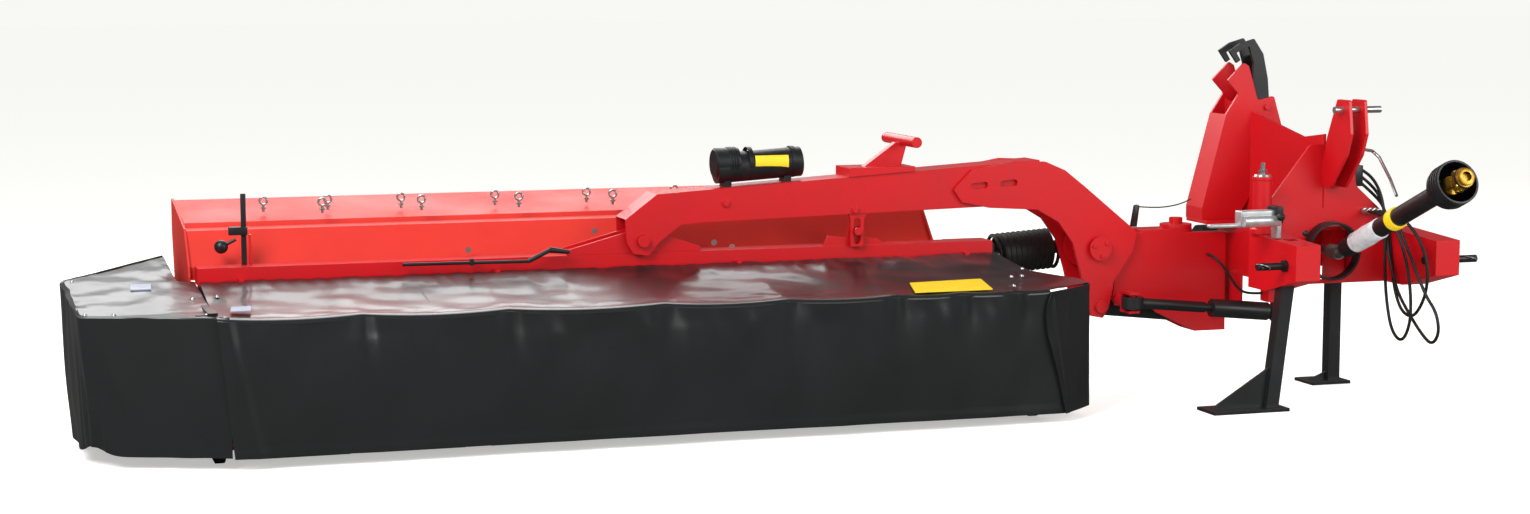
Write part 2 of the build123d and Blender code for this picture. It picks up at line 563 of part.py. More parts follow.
def header_gearbox():
    """Angle gearbox at the header's inner end."""
    y0, y1 = GEAR_Y - 60, GEAR_Y + 60
    case = block(HEADER_GEAR_X - 140, HEADER_GEAR_X - 10, y0, y1, HEADER_GEAR_Z - 60, HEADER_GEAR_Z + 55)
    case += block(HEADER_GEAR_X - 262, HEADER_GEAR_X - 140, y0 + 6, y1 - 6, HEADER_GEAR_Z - 40, HEADER_GEAR_Z + 52)
    return case - Pos(HEADER_GEAR_X, GEAR_Y, HEADER_GEAR_Z) * Sphere(BALL_R + RUN_GAP)


def gearbox_seat():
    """Console that carries the header gearbox on the beam."""
    low = HEADER_GEAR_Z - 72
    plate = block(HEADER_RIGHT - 160, HEADER_RIGHT, BEAM_Y1, GEAR_Y + 70, low, low + 12 - RUN_GAP)
    plate += block(HEADER_RIGHT - 160, HEADER_RIGHT, BEAM_Y1, BEAM_Y1 + 10, low, BEAM_Z1)
    return plate


def swath_vane(x, turn):
    """Sheet under the hood that shapes the swath."""
    y, half, low = 1180.0, 105.0, 310.0
    slope = (HOOD_REAR_Z - HOOD_CREST_Z - 18) / (HOOD_REAR_Y - HOOD_CREST_Y - 64)
    rise = half * cos(radians(turn)) * slope
    top = HOOD_REAR_Z - slope * (HOOD_REAR_Y - y) - SHEET + 2
    face = outline([(-half, low), (half, low + 60), (half, top + rise), (-half, top - rise)])
    return Pos(x, y, 0) * Rot(0, 0, turn) * plate_yz(face, -2, 2)


keep("header_gearbox", header_gearbox())

# ---------------------------------------------------------------- boom
def gooseneck_cheek():
    """Outline of one gooseneck side plate."""
    points = [(-1414, 800), (-1340, 872), (-1165, 902), (-1040, 896), (-960, 862), (-880, 800),
              (-654, 616), (-672, 545), (-750, 430), (EYE_REST[0] + 34, EYE_REST[1] - 10),
              (EYE_REST[0] + 10, EYE_REST[1] - 45), (EYE_REST[0] - 40, EYE_REST[1] - 35),
              (-862, 360), (-890, 470), (-925, 585), (-985, 665), (-1070, 715), (-1270, 728),
              (-1380, 752)]
    return outline(points, 9)


def beam_top(x):
    """Height of the beam's top face."""
    return 823 + 0.0594 * (x + 2394)


def boom_beam():
    """Box beam with the pendulum fork at its outer end."""
    side = [(-2560, beam_top(-2560)), (-1060, beam_top(-1060)), (-1060, 745), (-1270, 732),
            (-2380, 706), (-2470, 700), (-2550, 640), (TILT_X + 20, TILT_Z - 54),
            (TILT_X - 36, TILT_Z - 46), (TILT_X - 62, TILT_Z - 5), (TILT_X - 66, TILT_Z + 80)]
    face = outline(side, 8)
    body = plate_xz(face, BOOM_Y0, BOOM_Y0 + BOOM_WALL)
    body += plate_xz(face, BOOM_Y1 - BOOM_WALL, BOOM_Y1)
    skin = outline([(-2560, beam_top(-2560)), (-1060, beam_top(-1060)),
                    (-1060, beam_top(-1060) - BOOM_WALL), (-2556, beam_top(-2560) - BOOM_WALL),
                    (TILT_X - 58, TILT_Z + 78), (TILT_X - 66, TILT_Z + 80)])
    body += plate_xz(skin, BOOM_Y0, BOOM_Y1)
    floor = outline([(-1270, 732), (-2380, 706), (-2480, 702), (-2480, 710), (-2380, 714),
                     (-1270, 740)])
    body += plate_xz(floor, BOOM_Y0, BOOM_Y1)
    return body - rod((TILT_X, BOOM_Y0 - 1, TILT_Z), (TILT_X, BOOM_Y1 + 1, TILT_Z), TILT_PIN_R + RUN_GAP)


def below_beam():
    """Room taken by the beam and everything under its top face, plus the seat gap."""
    x0, x1 = -2600.0, -1100.0
    return plate_xz(outline([(x0, 500), (x1, 500), (x1, beam_top(x1) + 0.3), (x0, beam_top(x0) + 0.3)]), 500, 900)


def document_tube():
    """Round case for papers on two saddles."""
    case = rod((-2320, 670, 895), (-1995, 670, 915), 55)
    for x in (-2280, -2050):
        case += block(x - 14, x + 14, 640, 700, 800, 880)
    return case - below_beam()


def transport_catch():
    """T-shaped catch on a bolted base plate."""
    base = beam_top(CATCH_X)
    width = 18.0
    plate = block(-1825, -1565, BOOM_Y0 - 6, BOOM_Y1 + 6, base - 20, base + 20) - below_beam()
    stem = outline([(-1745, base + 20), (-1600, base + 20), (CATCH_X + 16, CATCH_Z - 8),
                    (CATCH_X - 30, CATCH_Z - 8)])
    mid = (BOOM_Y0 + BOOM_Y1) / 2
    plate += plate_xz(stem, mid - width, mid + width)
    plate += rod((CATCH_X, mid - 160, CATCH_Z), (CATCH_X, mid + 160, CATCH_Z), BAR_R)
    return plate


cheek_face = gooseneck_cheek()
hole = Pos(FOLD_X, FOLD_Z) * Circle(30 + RUN_GAP)
cheek_face -= hole
slots = [(-1310, 812), (-1190, 818)]
for slot in slots:
    cheek_face -= Pos(*slot) * Rot(0, 0, 5) * SlotOverall(70, 24)
eye_x, eye_z = EYE_REST
front, rear = BOOM_Y0 - CHEEK_T, BOOM_Y1 + CHEEK_T
cap = rod((eye_x, front - 14, eye_z), (eye_x, front + 1, eye_z), 24)
keep("gooseneck_front", plate_xz(cheek_face, front, BOOM_Y0) + cap)
cap = rod((eye_x, rear - 1, eye_z), (eye_x, rear + 14, eye_z), 24)
keep("gooseneck_rear", plate_xz(cheek_face, BOOM_Y1, rear) + cap)
keep("boom_beam", boom_beam() + limiter_link())
keep("transport_catch", transport_catch())
fold_pin = rod((FOLD_X, BOOM_Y0 - CHEEK_T - 12, FOLD_Z), (FOLD_X, BOOM_Y1 + CHEEK_T + 12, FOLD_Z), 30)
keep("fold_pin", fold_pin)
keep("document_tube", document_tube())

# ---------------------------------------------------------------- header frame
BRACKET_Y0, BRACKET_Y1 = BOOM_Y0 + 22, BOOM_Y1 - 22


def header_frame():
    """Beam with the pendulum bracket on it."""
    beam = block(HEADER_LEFT, HEADER_RIGHT, BEAM_Y0, BEAM_Y1, BEAM_Z0, BEAM_Z1)
    beam -= block(HEADER_LEFT + 20, HEADER_RIGHT - 20, BEAM_Y0 + 6, BEAM_Y1 - 6, BEAM_Z0 + 6, BEAM_Z1 - 6)
    return beam


def pivot_bracket():
    """Triangular plates with a boss for the pendulum pin."""
    face = outline([(-2960, BEAM_Z1), (-2340, BEAM_Z1), (TILT_X + 40, TILT_Z + 36),
                    (TILT_X - 40, TILT_Z + 36)], 10)
    body = plate_xz(face, BRACKET_Y0, BRACKET_Y0 + 12)
    body += plate_xz(face, BRACKET_Y1 - 12, BRACKET_Y1)
    body += rod((TILT_X, BRACKET_Y0, TILT_Z), (TILT_X, BRACKET_Y1, TILT_Z), 42)
    body -= rod((TILT_X, BRACKET_Y0 - 1, TILT_Z), (TILT_X, BRACKET_Y1 + 1, TILT_Z), 22 + RUN_GAP)
    return body


keep("pivot_bracket", pivot_bracket())
keep("tilt_pin", rod((TILT_X, BOOM_Y0 - 14, TILT_Z), (TILT_X, BOOM_Y1 + 8, TILT_Z), TILT_PIN_R))


def cutterbar():
    """Flat gear case under the discs, with round hubs."""
    left, right = HEADER_LEFT + SHOE_T, HEADER_RIGHT - SHOE_T
    section = outline([(DISC_Y - 100, 52), (DISC_Y - 60, 34), (DISC_Y + 120, 34), (DISC_Y + 150, 50),
                       (DISC_Y + 150, 84), (DISC_Y - 70, 84), (DISC_Y - 100, 68)])
    bar = plate_yz(section, left, right)
    return bar


keep("cutterbar", cutterbar())


def skid(x):
    """Wear shoe under one disc."""
    line = [(DISC_Y - 150, 62), (DISC_Y - 120, 20), (DISC_Y - 70, 0), (DISC_Y + 100, 0), (DISC_Y + 190, 26),
            (DISC_Y + 190, 32), (DISC_Y + 100, 8), (DISC_Y - 66, 8), (DISC_Y - 114, 27), (DISC_Y - 142, 66)]
    shoe = plate_yz(outline(line), x - 150, x + 150)
    return shoe + block(x - 60, x + 60, DISC_Y - 55, DISC_Y + 95, 5, 34 - RUN_GAP)


disc_x = [DISC_MID_X + (i - (DISC_COUNT - 1) / 2) * DISC_PITCH for i in range(DISC_COUNT)]
keep("skids", *[skid(x) for x in disc_x])


def disc(x, turn):
    """Oval cutting disc with a domed middle and two knives."""
    face = Ellipse(DISC_LONG, DISC_SHORT)
    body = extrude(face, 8)
    body += Pos(0, 0, 8) * Cone(92, 40, 26, align=(Align.CENTER, Align.CENTER, Align.MIN))
    for side in (-1, 1):
        body += Pos(side * (KNIFE_TIP - 55), 0, -8) * Box(110, 44, 4)
        body += Pos(side * (DISC_LONG - 22), 0, -8) * Cylinder(11, 20)
    return Pos(x, DISC_Y, DISC_Z) * Rot(0, 0, turn) * body


for i, x in enumerate(disc_x):
    keep(f"disc_{i + 1}", disc(x, 90.0 * (i % 2)))
    hub = rod((x, DISC_Y, 84), (x, DISC_Y, DISC_Z - 0.3), 60)
    NODES["cutterbar"] = (Compound(NODES["cutterbar"]).solids()[0] + hub).solids()

# ---------------------------------------------------------------- conditioner
ROTOR_LEFT, ROTOR_RIGHT = HEADER_LEFT + SHOE_T + 12, HOOD_RIGHT - 20


def rotor():
    """Tube with rows of V-shaped steel fingers."""
    body = rod((ROTOR_LEFT, ROTOR_Y, ROTOR_Z), (ROTOR_RIGHT, ROTOR_Y, ROTOR_Z), ROTOR_CORE)
    body += rod((HOOD_LEFT - 4, ROTOR_Y, ROTOR_Z), (HOOD_RIGHT + 60, ROTOR_Y, ROTOR_Z), 22)
    rows, pitch = 4, 230.0
    count = int((ROTOR_RIGHT - ROTOR_LEFT - 120) // pitch) + 1
    start = (ROTOR_LEFT + ROTOR_RIGHT) / 2 - pitch * (count - 1) / 2
    for row in range(rows):
        for i in range(count):
            x = start + i * pitch + (row % 2) * pitch / 2 - pitch / 4
            finger = Pos(x, 0, (ROTOR_CORE + ROTOR_TIP) / 2 - 4) * Box(40, 12, ROTOR_TIP - ROTOR_CORE + 8)
            body += Pos(0, ROTOR_Y, ROTOR_Z) * Rot(row * 360 / rows, 0, 0) * finger
    return body


keep("conditioner_rotor", rotor())


def hood_shell():
    """Folded sheet over the conditioner: front panel, crest, deck and rear lip."""
    y0, y1, z0 = BEAM_Y1 + RUN_GAP, HOOD_FRONT_Y, BEAM_Z0 + 8
    line = [(y0, z0), (y0, z0 + SHEET), (y1 - SHEET, z0 + SHEET), (y1 - SHEET, BEAM_Z1 - 8),
            (HOOD_CREST_Y, HOOD_CREST_Z), (HOOD_CREST_Y + 55, HOOD_CREST_Z + 8),
            (HOOD_CREST_Y + 60, HOOD_CREST_Z + 22), (HOOD_REAR_Y, HOOD_REAR_Z),
            (HOOD_REAR_Y, HOOD_REAR_Z - 60)]
    inner = [(HOOD_REAR_Y - SHEET, HOOD_REAR_Z - 60), (HOOD_REAR_Y - SHEET, HOOD_REAR_Z - SHEET),
             (HOOD_CREST_Y + 64, HOOD_CREST_Z + 18), (HOOD_CREST_Y + 58, HOOD_CREST_Z + 4),
             (HOOD_CREST_Y + 1, HOOD_CREST_Z - SHEET), (y1, BEAM_Z1 - 10), (y1, z0)]
    return plate_yz(outline(line + inner), HOOD_LEFT + 8, HOOD_RIGHT - 8)


def hood_end(x0, x1):
    """Side plate of the conditioner housing."""
    front = BEAM_Y1 + RUN_GAP
    face = outline([(front, 124), (front, BEAM_Z0 + 20), (HOOD_FRONT_Y - 14, BEAM_Z1),
                    (HOOD_CREST_Y, HOOD_CREST_Z + 8), (HOOD_REAR_Y, HOOD_REAR_Z + 8),
                    (HOOD_REAR_Y, HOOD_REAR_Z - 120), (1180, 300), (1040, 120)], 8)
    plate = plate_yz(face, x0, x1)
    return plate - rod((x0 - 5, ROTOR_Y, ROTOR_Z), (x1 + 5, ROTOR_Y, ROTOR_Z), 22 + RUN_GAP)


hood = hood_shell()
keep("hood_shell", hood)
keep("swath_vanes", swath_vane(HOOD_LEFT + 240, -32) - hood, swath_vane(HOOD_RIGHT - 240, 32) - hood)

def hinge_lug(x0, x1, y, z, back):
    """Lug with a hole for a hinge rod along X, reaching back to a beam."""
    lug = block(x0, x1, y - 14, back, z - 14, z + 14)
    return lug - rod((x0 - 1, y, z), (x1 + 1, y, z), HINGE_R + RUN_GAP)


def end_shoe(x0, x1):
    """Runner that joins the beam, the cutterbar's end and the housing."""
    top = BEAM_Z0 - RUN_GAP
    face = outline([(110, 70), (150, 16), (200, 0), (880, 0), (960, 40), (960, 118), (700, 118),
                    (640, top), (600, top), (540, 130), (110, 110)])
    return plate_yz(face, x0, x1)


def end_lug(y):
    """Lug of the end cover's hinge, its hole along Y."""
    lug = block(END_ROD_X - 13, HOOD_LEFT + 4, y - 8, y + 8, END_ROD_Z - 13, END_ROD_Z + 13)
    return lug - rod((END_ROD_X, y - 9, END_ROD_Z), (END_ROD_X, y + 9, END_ROD_Z), HINGE_R + RUN_GAP)


END_ROD_X, END_ROD_Z = HEADER_LEFT - 46, 494.0
END_LUGS = (120.0, 790.0, 1120.0)
shoe = end_shoe(HEADER_LEFT, HEADER_LEFT + SHOE_T)
shoe += block(HOOD_LEFT, HEADER_LEFT + 10, 100, 630, 480, 514) + end_lug(END_LUGS[0])
keep("end_shoe_left", shoe)
keep("end_shoe_right", end_shoe(HEADER_RIGHT - SHOE_T, HEADER_RIGHT))
left_end = hood_end(HOOD_LEFT, HOOD_LEFT + 8)
keep("hood_end_left", left_end + end_lug(END_LUGS[1]) + end_lug(END_LUGS[2]))
keep("hood_end_right", hood_end(HOOD_RIGHT - 8, HOOD_RIGHT))

# ---------------------------------------------------------------- covers
LUG_X = [COVER_LEFT + 120 + i * (COVER_RIGHT - COVER_LEFT - 240) / 3 for i in range(4)]
HEM_X = [COVER_LEFT + 30 + i * (COVER_RIGHT - COVER_LEFT - 60) / 6 for i in range(7)]


def front_cover():
    """Tarpaulin panel on its lifting frame, ahead of the beam."""
    hem = CREASE_Y + 34
    face = outline([(COVER_HINGE_Y, COVER_HINGE_Z - 5), (COVER_HINGE_Y, COVER_HINGE_Z + 5),
                    (hem, CREASE_Z + 6), (hem, CREASE_Z - 4)])
    body = plate_yz(face, COVER_LEFT, COVER_RIGHT)
    y, z = COVER_HINGE_Y, COVER_HINGE_Z
    for x in LUG_X:
        body -= block(x - 16, x + 16, y - 24, y + 12, z - 30, z + 30)
    body += rod((COVER_LEFT, y, z), (COVER_RIGHT, y, z), HINGE_R)
    for x in HEM_X:
        body += block(x - 12, x + 12, CREASE_Y, hem + 4, CREASE_Z - 4, CREASE_Z + 4)
    return body + rod((COVER_LEFT, CREASE_Y, CREASE_Z), (COVER_RIGHT, CREASE_Y, CREASE_Z), 6)


def front_curtain():
    """Hanging front curtain on sleeves round the hem rod."""
    top = CREASE_Z - 42
    body = block(COVER_LEFT, COVER_RIGHT, CREASE_Y - 4, CREASE_Y + 4, CURTAIN_LOW, top)
    for x0, x1 in zip(HEM_X[:-1], HEM_X[1:]):
        ends = (x0 + 18, CREASE_Y, CREASE_Z), (x1 - 18, CREASE_Y, CREASE_Z)
        body += rod(*ends, 10)
        body += block(x0 + 18, x1 - 18, CREASE_Y - 4, CREASE_Y + 4, top - 2, CREASE_Z - 6)
        body -= rod(*ends, 6 + RUN_GAP)
    return body


def end_cover():
    """Fold-up outer cover with a skirt on its three outer sides."""
    plan = [(END_ROD_X, 60), (END_ROD_X - 364, 214), (END_ROD_X - 396, 784), (END_ROD_X, 1170)]
    face = outline(plan)
    deck = plate_xy(face, END_ROD_Z - 6, END_ROD_Z + 6)
    for y in END_LUGS:
        deck -= block(END_ROD_X - 30, END_ROD_X + 20, y - 14, y + 14, 400, 600)
    deck += rod((END_ROD_X, 64, END_ROD_Z), (END_ROD_X, 1166, END_ROD_Z), HINGE_R)
    inner = outline([(END_ROD_X + 9, 78), (END_ROD_X - 354, 222), (END_ROD_X - 385, 778), (END_ROD_X + 9, 1152)])
    skirt = plate_xy(face, CURTAIN_LOW, END_ROD_Z - 6 - RUN_GAP) - plate_xy(inner, 0, 600)
    skirt -= rod((END_ROD_X, 0, END_ROD_Z), (END_ROD_X, 1300, END_ROD_Z), HINGE_R + 1)
    return deck, skirt


head_beam = header_frame() + limiter_bracket() + gearbox_seat()
for x in LUG_X:
    head_beam += hinge_lug(x - 9, x + 9, COVER_HINGE_Y, COVER_HINGE_Z, BEAM_Y0 + 1)
keep("header_beam", head_beam)
keep("front_cover", front_cover())
keep("front_curtain", front_curtain())
deck, skirt = end_cover()
keep("end_cover", deck)
keep("end_curtain", skirt)

# ---------------------------------------------------------------- write the files
box = Compound([s for node in NODES.values() for s in node]).bounding_box()
shift = (-(box.min.X + box.max.X) / 2, -(box.min.Y + box.max.Y) / 2, -box.min.Z)
print("origin shift %.3f %.3f %.3f" % shift)
for name, solids in NODES.items():
    placed = [Pos(*shift) * s for s in solids]
    export_step(placed[0] if len(placed) == 1 else Compound(placed), f"parts/{name}.step")
print("wrote", len(NODES), "files")
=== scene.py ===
"""Disc mower conditioner: finishes, tarpaulins, fittings, camera and light.

Sizes are written in the layout frame of the machine, in millimetres: X = 0 is the
tractor's centre line, Y = 0 the lower-link pins, Z = 0 the ground, and -Y points
to the tractor.  Layout turns them into the shared frame's metres.
"""
from __future__ import annotations

import json
import logging
import math
from dataclasses import dataclass
from enum import Enum
from typing import Callable, Iterable, Sequence

import bmesh
import bpy
from mathutils import Matrix, Vector, noise


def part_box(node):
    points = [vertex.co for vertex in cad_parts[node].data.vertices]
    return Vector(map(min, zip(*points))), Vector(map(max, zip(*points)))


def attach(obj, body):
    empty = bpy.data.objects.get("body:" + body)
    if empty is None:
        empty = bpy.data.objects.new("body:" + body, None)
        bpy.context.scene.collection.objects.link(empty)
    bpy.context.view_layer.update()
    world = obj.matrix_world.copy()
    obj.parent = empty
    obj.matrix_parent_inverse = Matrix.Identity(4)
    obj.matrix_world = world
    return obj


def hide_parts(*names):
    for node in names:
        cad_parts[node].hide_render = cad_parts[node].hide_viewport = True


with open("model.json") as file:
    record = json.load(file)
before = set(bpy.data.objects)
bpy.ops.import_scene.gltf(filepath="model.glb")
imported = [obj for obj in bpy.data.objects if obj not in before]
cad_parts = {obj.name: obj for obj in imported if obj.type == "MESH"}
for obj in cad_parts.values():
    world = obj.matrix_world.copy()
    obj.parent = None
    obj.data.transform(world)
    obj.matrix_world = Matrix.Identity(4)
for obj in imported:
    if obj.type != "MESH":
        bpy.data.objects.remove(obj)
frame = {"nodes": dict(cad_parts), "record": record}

LOG = logging.getLogger("mower")
MM = 0.001
# sockets of a colour mix node
MIX_A, MIX_B, MIX_OUT = 6, 7, 2
Point = tuple[float, float, float]
Flat = tuple[float, float]
Spot = Sequence[float]
Mesh = bmesh.types.BMesh


class Layout:
    """Place of the layout frame in the shared frame."""

    # X and Y of the swing pin's axis
    SWING = (-450.0, 670.0)

    def __init__(self) -> None:
        """Read the shift from the swing pin, which is round about its axis."""
        low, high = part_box("swing_pin")
        middle = (low + high) / 2
        self.shift = Vector((middle.x - self.SWING[0] * MM, middle.y - self.SWING[1] * MM, 0.0))

    def at(self, x: float, y: float, z: float) -> Vector:
        """Turn a layout point in millimetres into a shared-frame point in metres."""
        return Vector((x, y, z)) * MM + self.shift

    def matrix(self) -> Matrix:
        """Matrix from layout millimetres to shared metres."""
        return Matrix.Translation(self.shift) @ Matrix.Scale(MM, 4)


LAYOUT = Layout()


# -------- colours and nodes
def linear(code: str) -> tuple[float, float, float, float]:
    """Turn an sRGB hex value into a linear colour.

    Args:
        code: Colour as "#rrggbb".

    Returns:
        Linear red, green, blue and an alpha of 1.
    """
    values = [int(code[i:i + 2], 16) / 255 for i in (1, 3, 5)]
    out = [v / 12.92 if v <= 0.04045 else ((v + 0.055) / 1.055) ** 2.4 for v in values]
    return out[0], out[1], out[2], 1.0


def node(tree: bpy.types.NodeTree, kind: str, links: dict | None = None,
         **settings: object) -> bpy.types.Node:
    """Add one shader node.

    Args:
        tree: Node tree that takes it.
        kind: Blender's node type.
        links: Input name or index to a value or to another node's output socket.
        **settings: Attributes of the node.

    Returns:
        The new node.
    """
    made = tree.nodes.new(kind)
    for key, value in settings.items():
        setattr(made, key, value)
    for key, value in (links or {}).items():
        socket = made.inputs[key]
        if isinstance(value, bpy.types.NodeSocket):
            tree.links.new(value, socket)
        else:
            socket.default_value = value
    return made


class Grain(Enum):
    """How a surface was made, which decides its fine relief."""

    PEEL = "orange peel of a sprayed coat"
    CALENDER = "calendered skin of a coated cloth"
    MOULD = "spark-eroded mould skin"
    BRUSH = "drawn or ground lines"
    CAST = "sand-cast skin"
    SPANGLE = "zinc crystals"


@dataclass(frozen=True)
class Finish:
    """One real material with its colours, gloss, relief and slot in the record."""

    name: str
    hex: str
    shade: str
    grain: Grain
    rough: float = 0.4
    metal: float = 0.0
    coat: float = 0.0
    grain_mm: float = 2.0
    relief: float = 0.15
    cloud_mm: float = 260.0
    ior: float = 1.5
    edge_mm: float = 0.0
    slot: str = "black_plastic"

    def build(self) -> bpy.types.Material:
        """Make the material, once.

        Returns:
            The material.
        """
        known = bpy.data.materials.get(self.name)
        if known:
            return known
        mat = bpy.data.materials.new(self.name)
        mat.use_nodes = True
        tree = mat.node_tree
        shader = tree.nodes["Principled BSDF"]
        place = node(tree, "ShaderNodeTexCoord").outputs["Object"]
        cloud = node(tree, "ShaderNodeTexNoise", {"Vector": place, "Scale": 1000 / self.cloud_mm,
                                                  "Detail": 4.0, "Roughness": 0.55})
        span = {"Value": cloud.outputs["Fac"], "From Min": 0.3, "From Max": 0.7}
        spread = node(tree, "ShaderNodeMapRange", span)
        tint = node(tree, "ShaderNodeMix", {"Factor": spread.outputs["Result"], MIX_A: linear(self.hex),
                                            MIX_B: linear(self.shade)}, data_type="RGBA")
        gloss = node(tree, "ShaderNodeMapRange", {**span, "To Min": self.rough * 0.85,
                                                  "To Max": self.rough * 1.15})
        bump = node(tree, "ShaderNodeBump", {"Height": self._fine(tree, place), "Strength": self.relief,
                                             "Distance": self.grain_mm * MM * 0.12})
        if self.edge_mm:
            soft = node(tree, "ShaderNodeBevel", {"Radius": self.edge_mm * MM}, samples=4)
            tree.links.new(soft.outputs["Normal"], bump.inputs["Normal"])
        for name, source in (("Base Color", tint.outputs[MIX_OUT]), ("Roughness", gloss.outputs["Result"]),
                             ("Normal", bump.outputs["Normal"])):
            tree.links.new(source, shader.inputs[name])
        for name, value in (("Metallic", self.metal), ("IOR", self.ior), ("Coat Weight", self.coat),
                            ("Coat Roughness", 0.12)):
            shader.inputs[name].default_value = value
        return mat

    def _fine(self, tree: bpy.types.NodeTree, place: bpy.types.NodeSocket) -> bpy.types.NodeSocket:
        """Make the height of the fine relief, at its real size in millimetres.

        Args:
            tree: Node tree that takes it.
            place: Socket of the place on the object.

        Returns:
            Socket of the height.
        """
        scale = 1000 / self.grain_mm
        if self.grain in (Grain.CALENDER, Grain.SPANGLE):
            cells = node(tree, "ShaderNodeTexVoronoi", {"Vector": place, "Scale": scale}, feature="F1")
            return cells.outputs["Distance"]
        if self.grain is Grain.BRUSH:
            lines = node(tree, "ShaderNodeMapping", {"Vector": place, "Scale": (scale * 0.05, scale, scale)})
            links = {"Vector": lines.outputs["Vector"], "Scale": 1.0}
        else:
            links = {"Vector": place, "Scale": scale, "Detail": 3.0 if self.grain is Grain.CAST else 1.5}
        return node(tree, "ShaderNodeTexNoise", links).outputs["Fac"]


# sprayed and stoved enamel on welded steel: gloss with a soft orange peel
RED = Finish("red_enamel", "#C90F19", "#BD0B15", Grain.PEEL, rough=0.36, coat=0.2, ior=1.42, grain_mm=5.0,
             edge_mm=3.0, slot="red_paint")
# the same enamel on thin bent sheet, lighter and more orange as painted light: a lit copy of the red that
# stands in for light from above on the hood
HOOD_RED_PAINTED_LIGHT = Finish("red_sheet_painted_top_light", "#CE2F24", "#C4261C", Grain.PEEL, rough=0.5, ior=1.38,
                  grain_mm=4.0, edge_mm=2.0, slot="hood_paint")
# black powder coat: fine peel, half gloss
BLACK = Finish("black_powder_coat", "#17181A", "#1F2022", Grain.PEEL, rough=0.42, coat=0.1, grain_mm=3.0,
               edge_mm=2.0, slot="black_paint")
# zinc plating, passivated: pale grey with faint crystals
ZINC = Finish("zinc_plated_steel", "#C9CBCB", "#B2B5B6", Grain.SPANGLE, rough=0.3, metal=0.9, grain_mm=1.4,
              relief=0.1, cloud_mm=30, slot="zinc")
# ground spring steel of discs and knives
STEEL = Finish("ground_steel", "#8C8B88", "#6E6D6B", Grain.BRUSH, rough=0.38, metal=0.85, grain_mm=1.2,
               relief=0.2, cloud_mm=60, slot="bare_steel")
# forged pins left in mill oil: dark, half dull
DARK = Finish("oiled_forged_steel", "#3A3A3C", "#2A2A2B", Grain.CAST, rough=0.42, metal=0.7, grain_mm=3,
              relief=0.2, cloud_mm=40, edge_mm=1.5)
# painted grey iron casting
IRON = Finish("painted_iron_casting", "#1B1C1E", "#26272A", Grain.CAST, rough=0.5, grain_mm=6, relief=0.4,
              cloud_mm=70, edge_mm=2.0, slot="casting")
# vinyl-coated polyester cloth, calendered: a wet sheen and small leathery cells
TARP = Finish("pvc_coated_tarpaulin", "#1F2022", "#18191A", Grain.CALENDER, rough=0.33, coat=0.3,
              grain_mm=2.2, relief=0.18, cloud_mm=420, ior=1.45, slot="tarpaulin")
# moulded polyethylene
PLASTIC = Finish("moulded_polyethylene", "#111214", "#1A1B1D", Grain.MOULD, rough=0.42, grain_mm=1.2,
                 relief=0.12, cloud_mm=60, edge_mm=1.0)
# extruded rubber hose cover
RUBBER = Finish("rubber_hose_cover", "#141415", "#1E1E1F", Grain.CAST, rough=0.55, grain_mm=1.0, relief=0.2,
                cloud_mm=25)
# yellow-chromated forging
BRASS = Finish("yellow_chromated_forging", "#C79A3A", "#9C7328", Grain.CAST, rough=0.35, metal=0.8,
               grain_mm=3, relief=0.35, cloud_mm=14, slot="bare_steel")
# cast aluminium with a shot-blasted skin
SILVER = Finish("blasted_aluminium_casting", "#D9DBDC", "#BFC2C4", Grain.CAST, rough=0.42, metal=0.75,
                grain_mm=2.5, relief=0.3, cloud_mm=35, edge_mm=1.5, slot="casting")
# printed vinyl label, left blank
LABEL = Finish("yellow_vinyl_label", "#F3D21C", "#E9C614", Grain.PEEL, rough=0.35, grain_mm=2.0,
               relief=0.05, cloud_mm=50, slot="tarpaulin")
# printed polyester tag, left blank
TAG = Finish("grey_polyester_tag", "#8E93A8", "#858A9E", Grain.PEEL, rough=0.4, grain_mm=2.0, relief=0.05,
             cloud_mm=50, slot="tarpaulin")
# stretched polythene film round the new shaft
FILM = Finish("clouded_polythene_film", "#DADDE0", "#B9BEC3", Grain.CAST, rough=0.3, grain_mm=9, relief=0.8,
              cloud_mm=22, coat=0.3)


# -------- shapes
def unit(a: Spot, b: Spot) -> Vector:
    """Find the direction from a to b, as a vector of length 1."""
    return (Vector(b) - Vector(a)).normalized()


def standing(start: Spot, end: Spot) -> Matrix:
    """Find the matrix that stands local Z on the line from start to end, at start."""
    turn = (Vector(end) - Vector(start)).to_track_quat("Z", "Y").to_matrix().to_4x4()
    return Matrix.Translation(Vector(start)) @ turn


def add_rod(bm: Mesh, start: Spot, end: Spot, radius: float,
            tip: float | None = None, sides: int = 24) -> None:
    """Add a round or many-sided bar, tapered if it has a tip radius.

    Args:
        bm: Mesh that takes it.
        start: Middle of one end.
        end: Middle of the other end.
        radius: Radius at the start.
        tip: Radius at the end, or None for the same.
        sides: Number of sides.
    """
    length = (Vector(end) - Vector(start)).length
    matrix = standing(start, end) @ Matrix.Translation((0, 0, length / 2))
    bmesh.ops.create_cone(bm, cap_ends=True, segments=sides, radius1=radius,
                          radius2=radius if tip is None else tip, depth=length, matrix=matrix)


def add_box(bm: Mesh, low: Spot, high: Spot,
            turn: Matrix | None = None) -> None:
    """Add a box between two corners.

    Args:
        bm: Mesh that takes it.
        low: Lowest corner.
        high: Highest corner.
        turn: Matrix that then moves it, or None.
    """
    low, high = Vector(low), Vector(high)
    matrix = Matrix.Translation((low + high) / 2) @ Matrix.Diagonal((*(high - low), 1.0))
    bmesh.ops.create_cube(bm, size=1.0, matrix=(turn @ matrix) if turn else matrix)


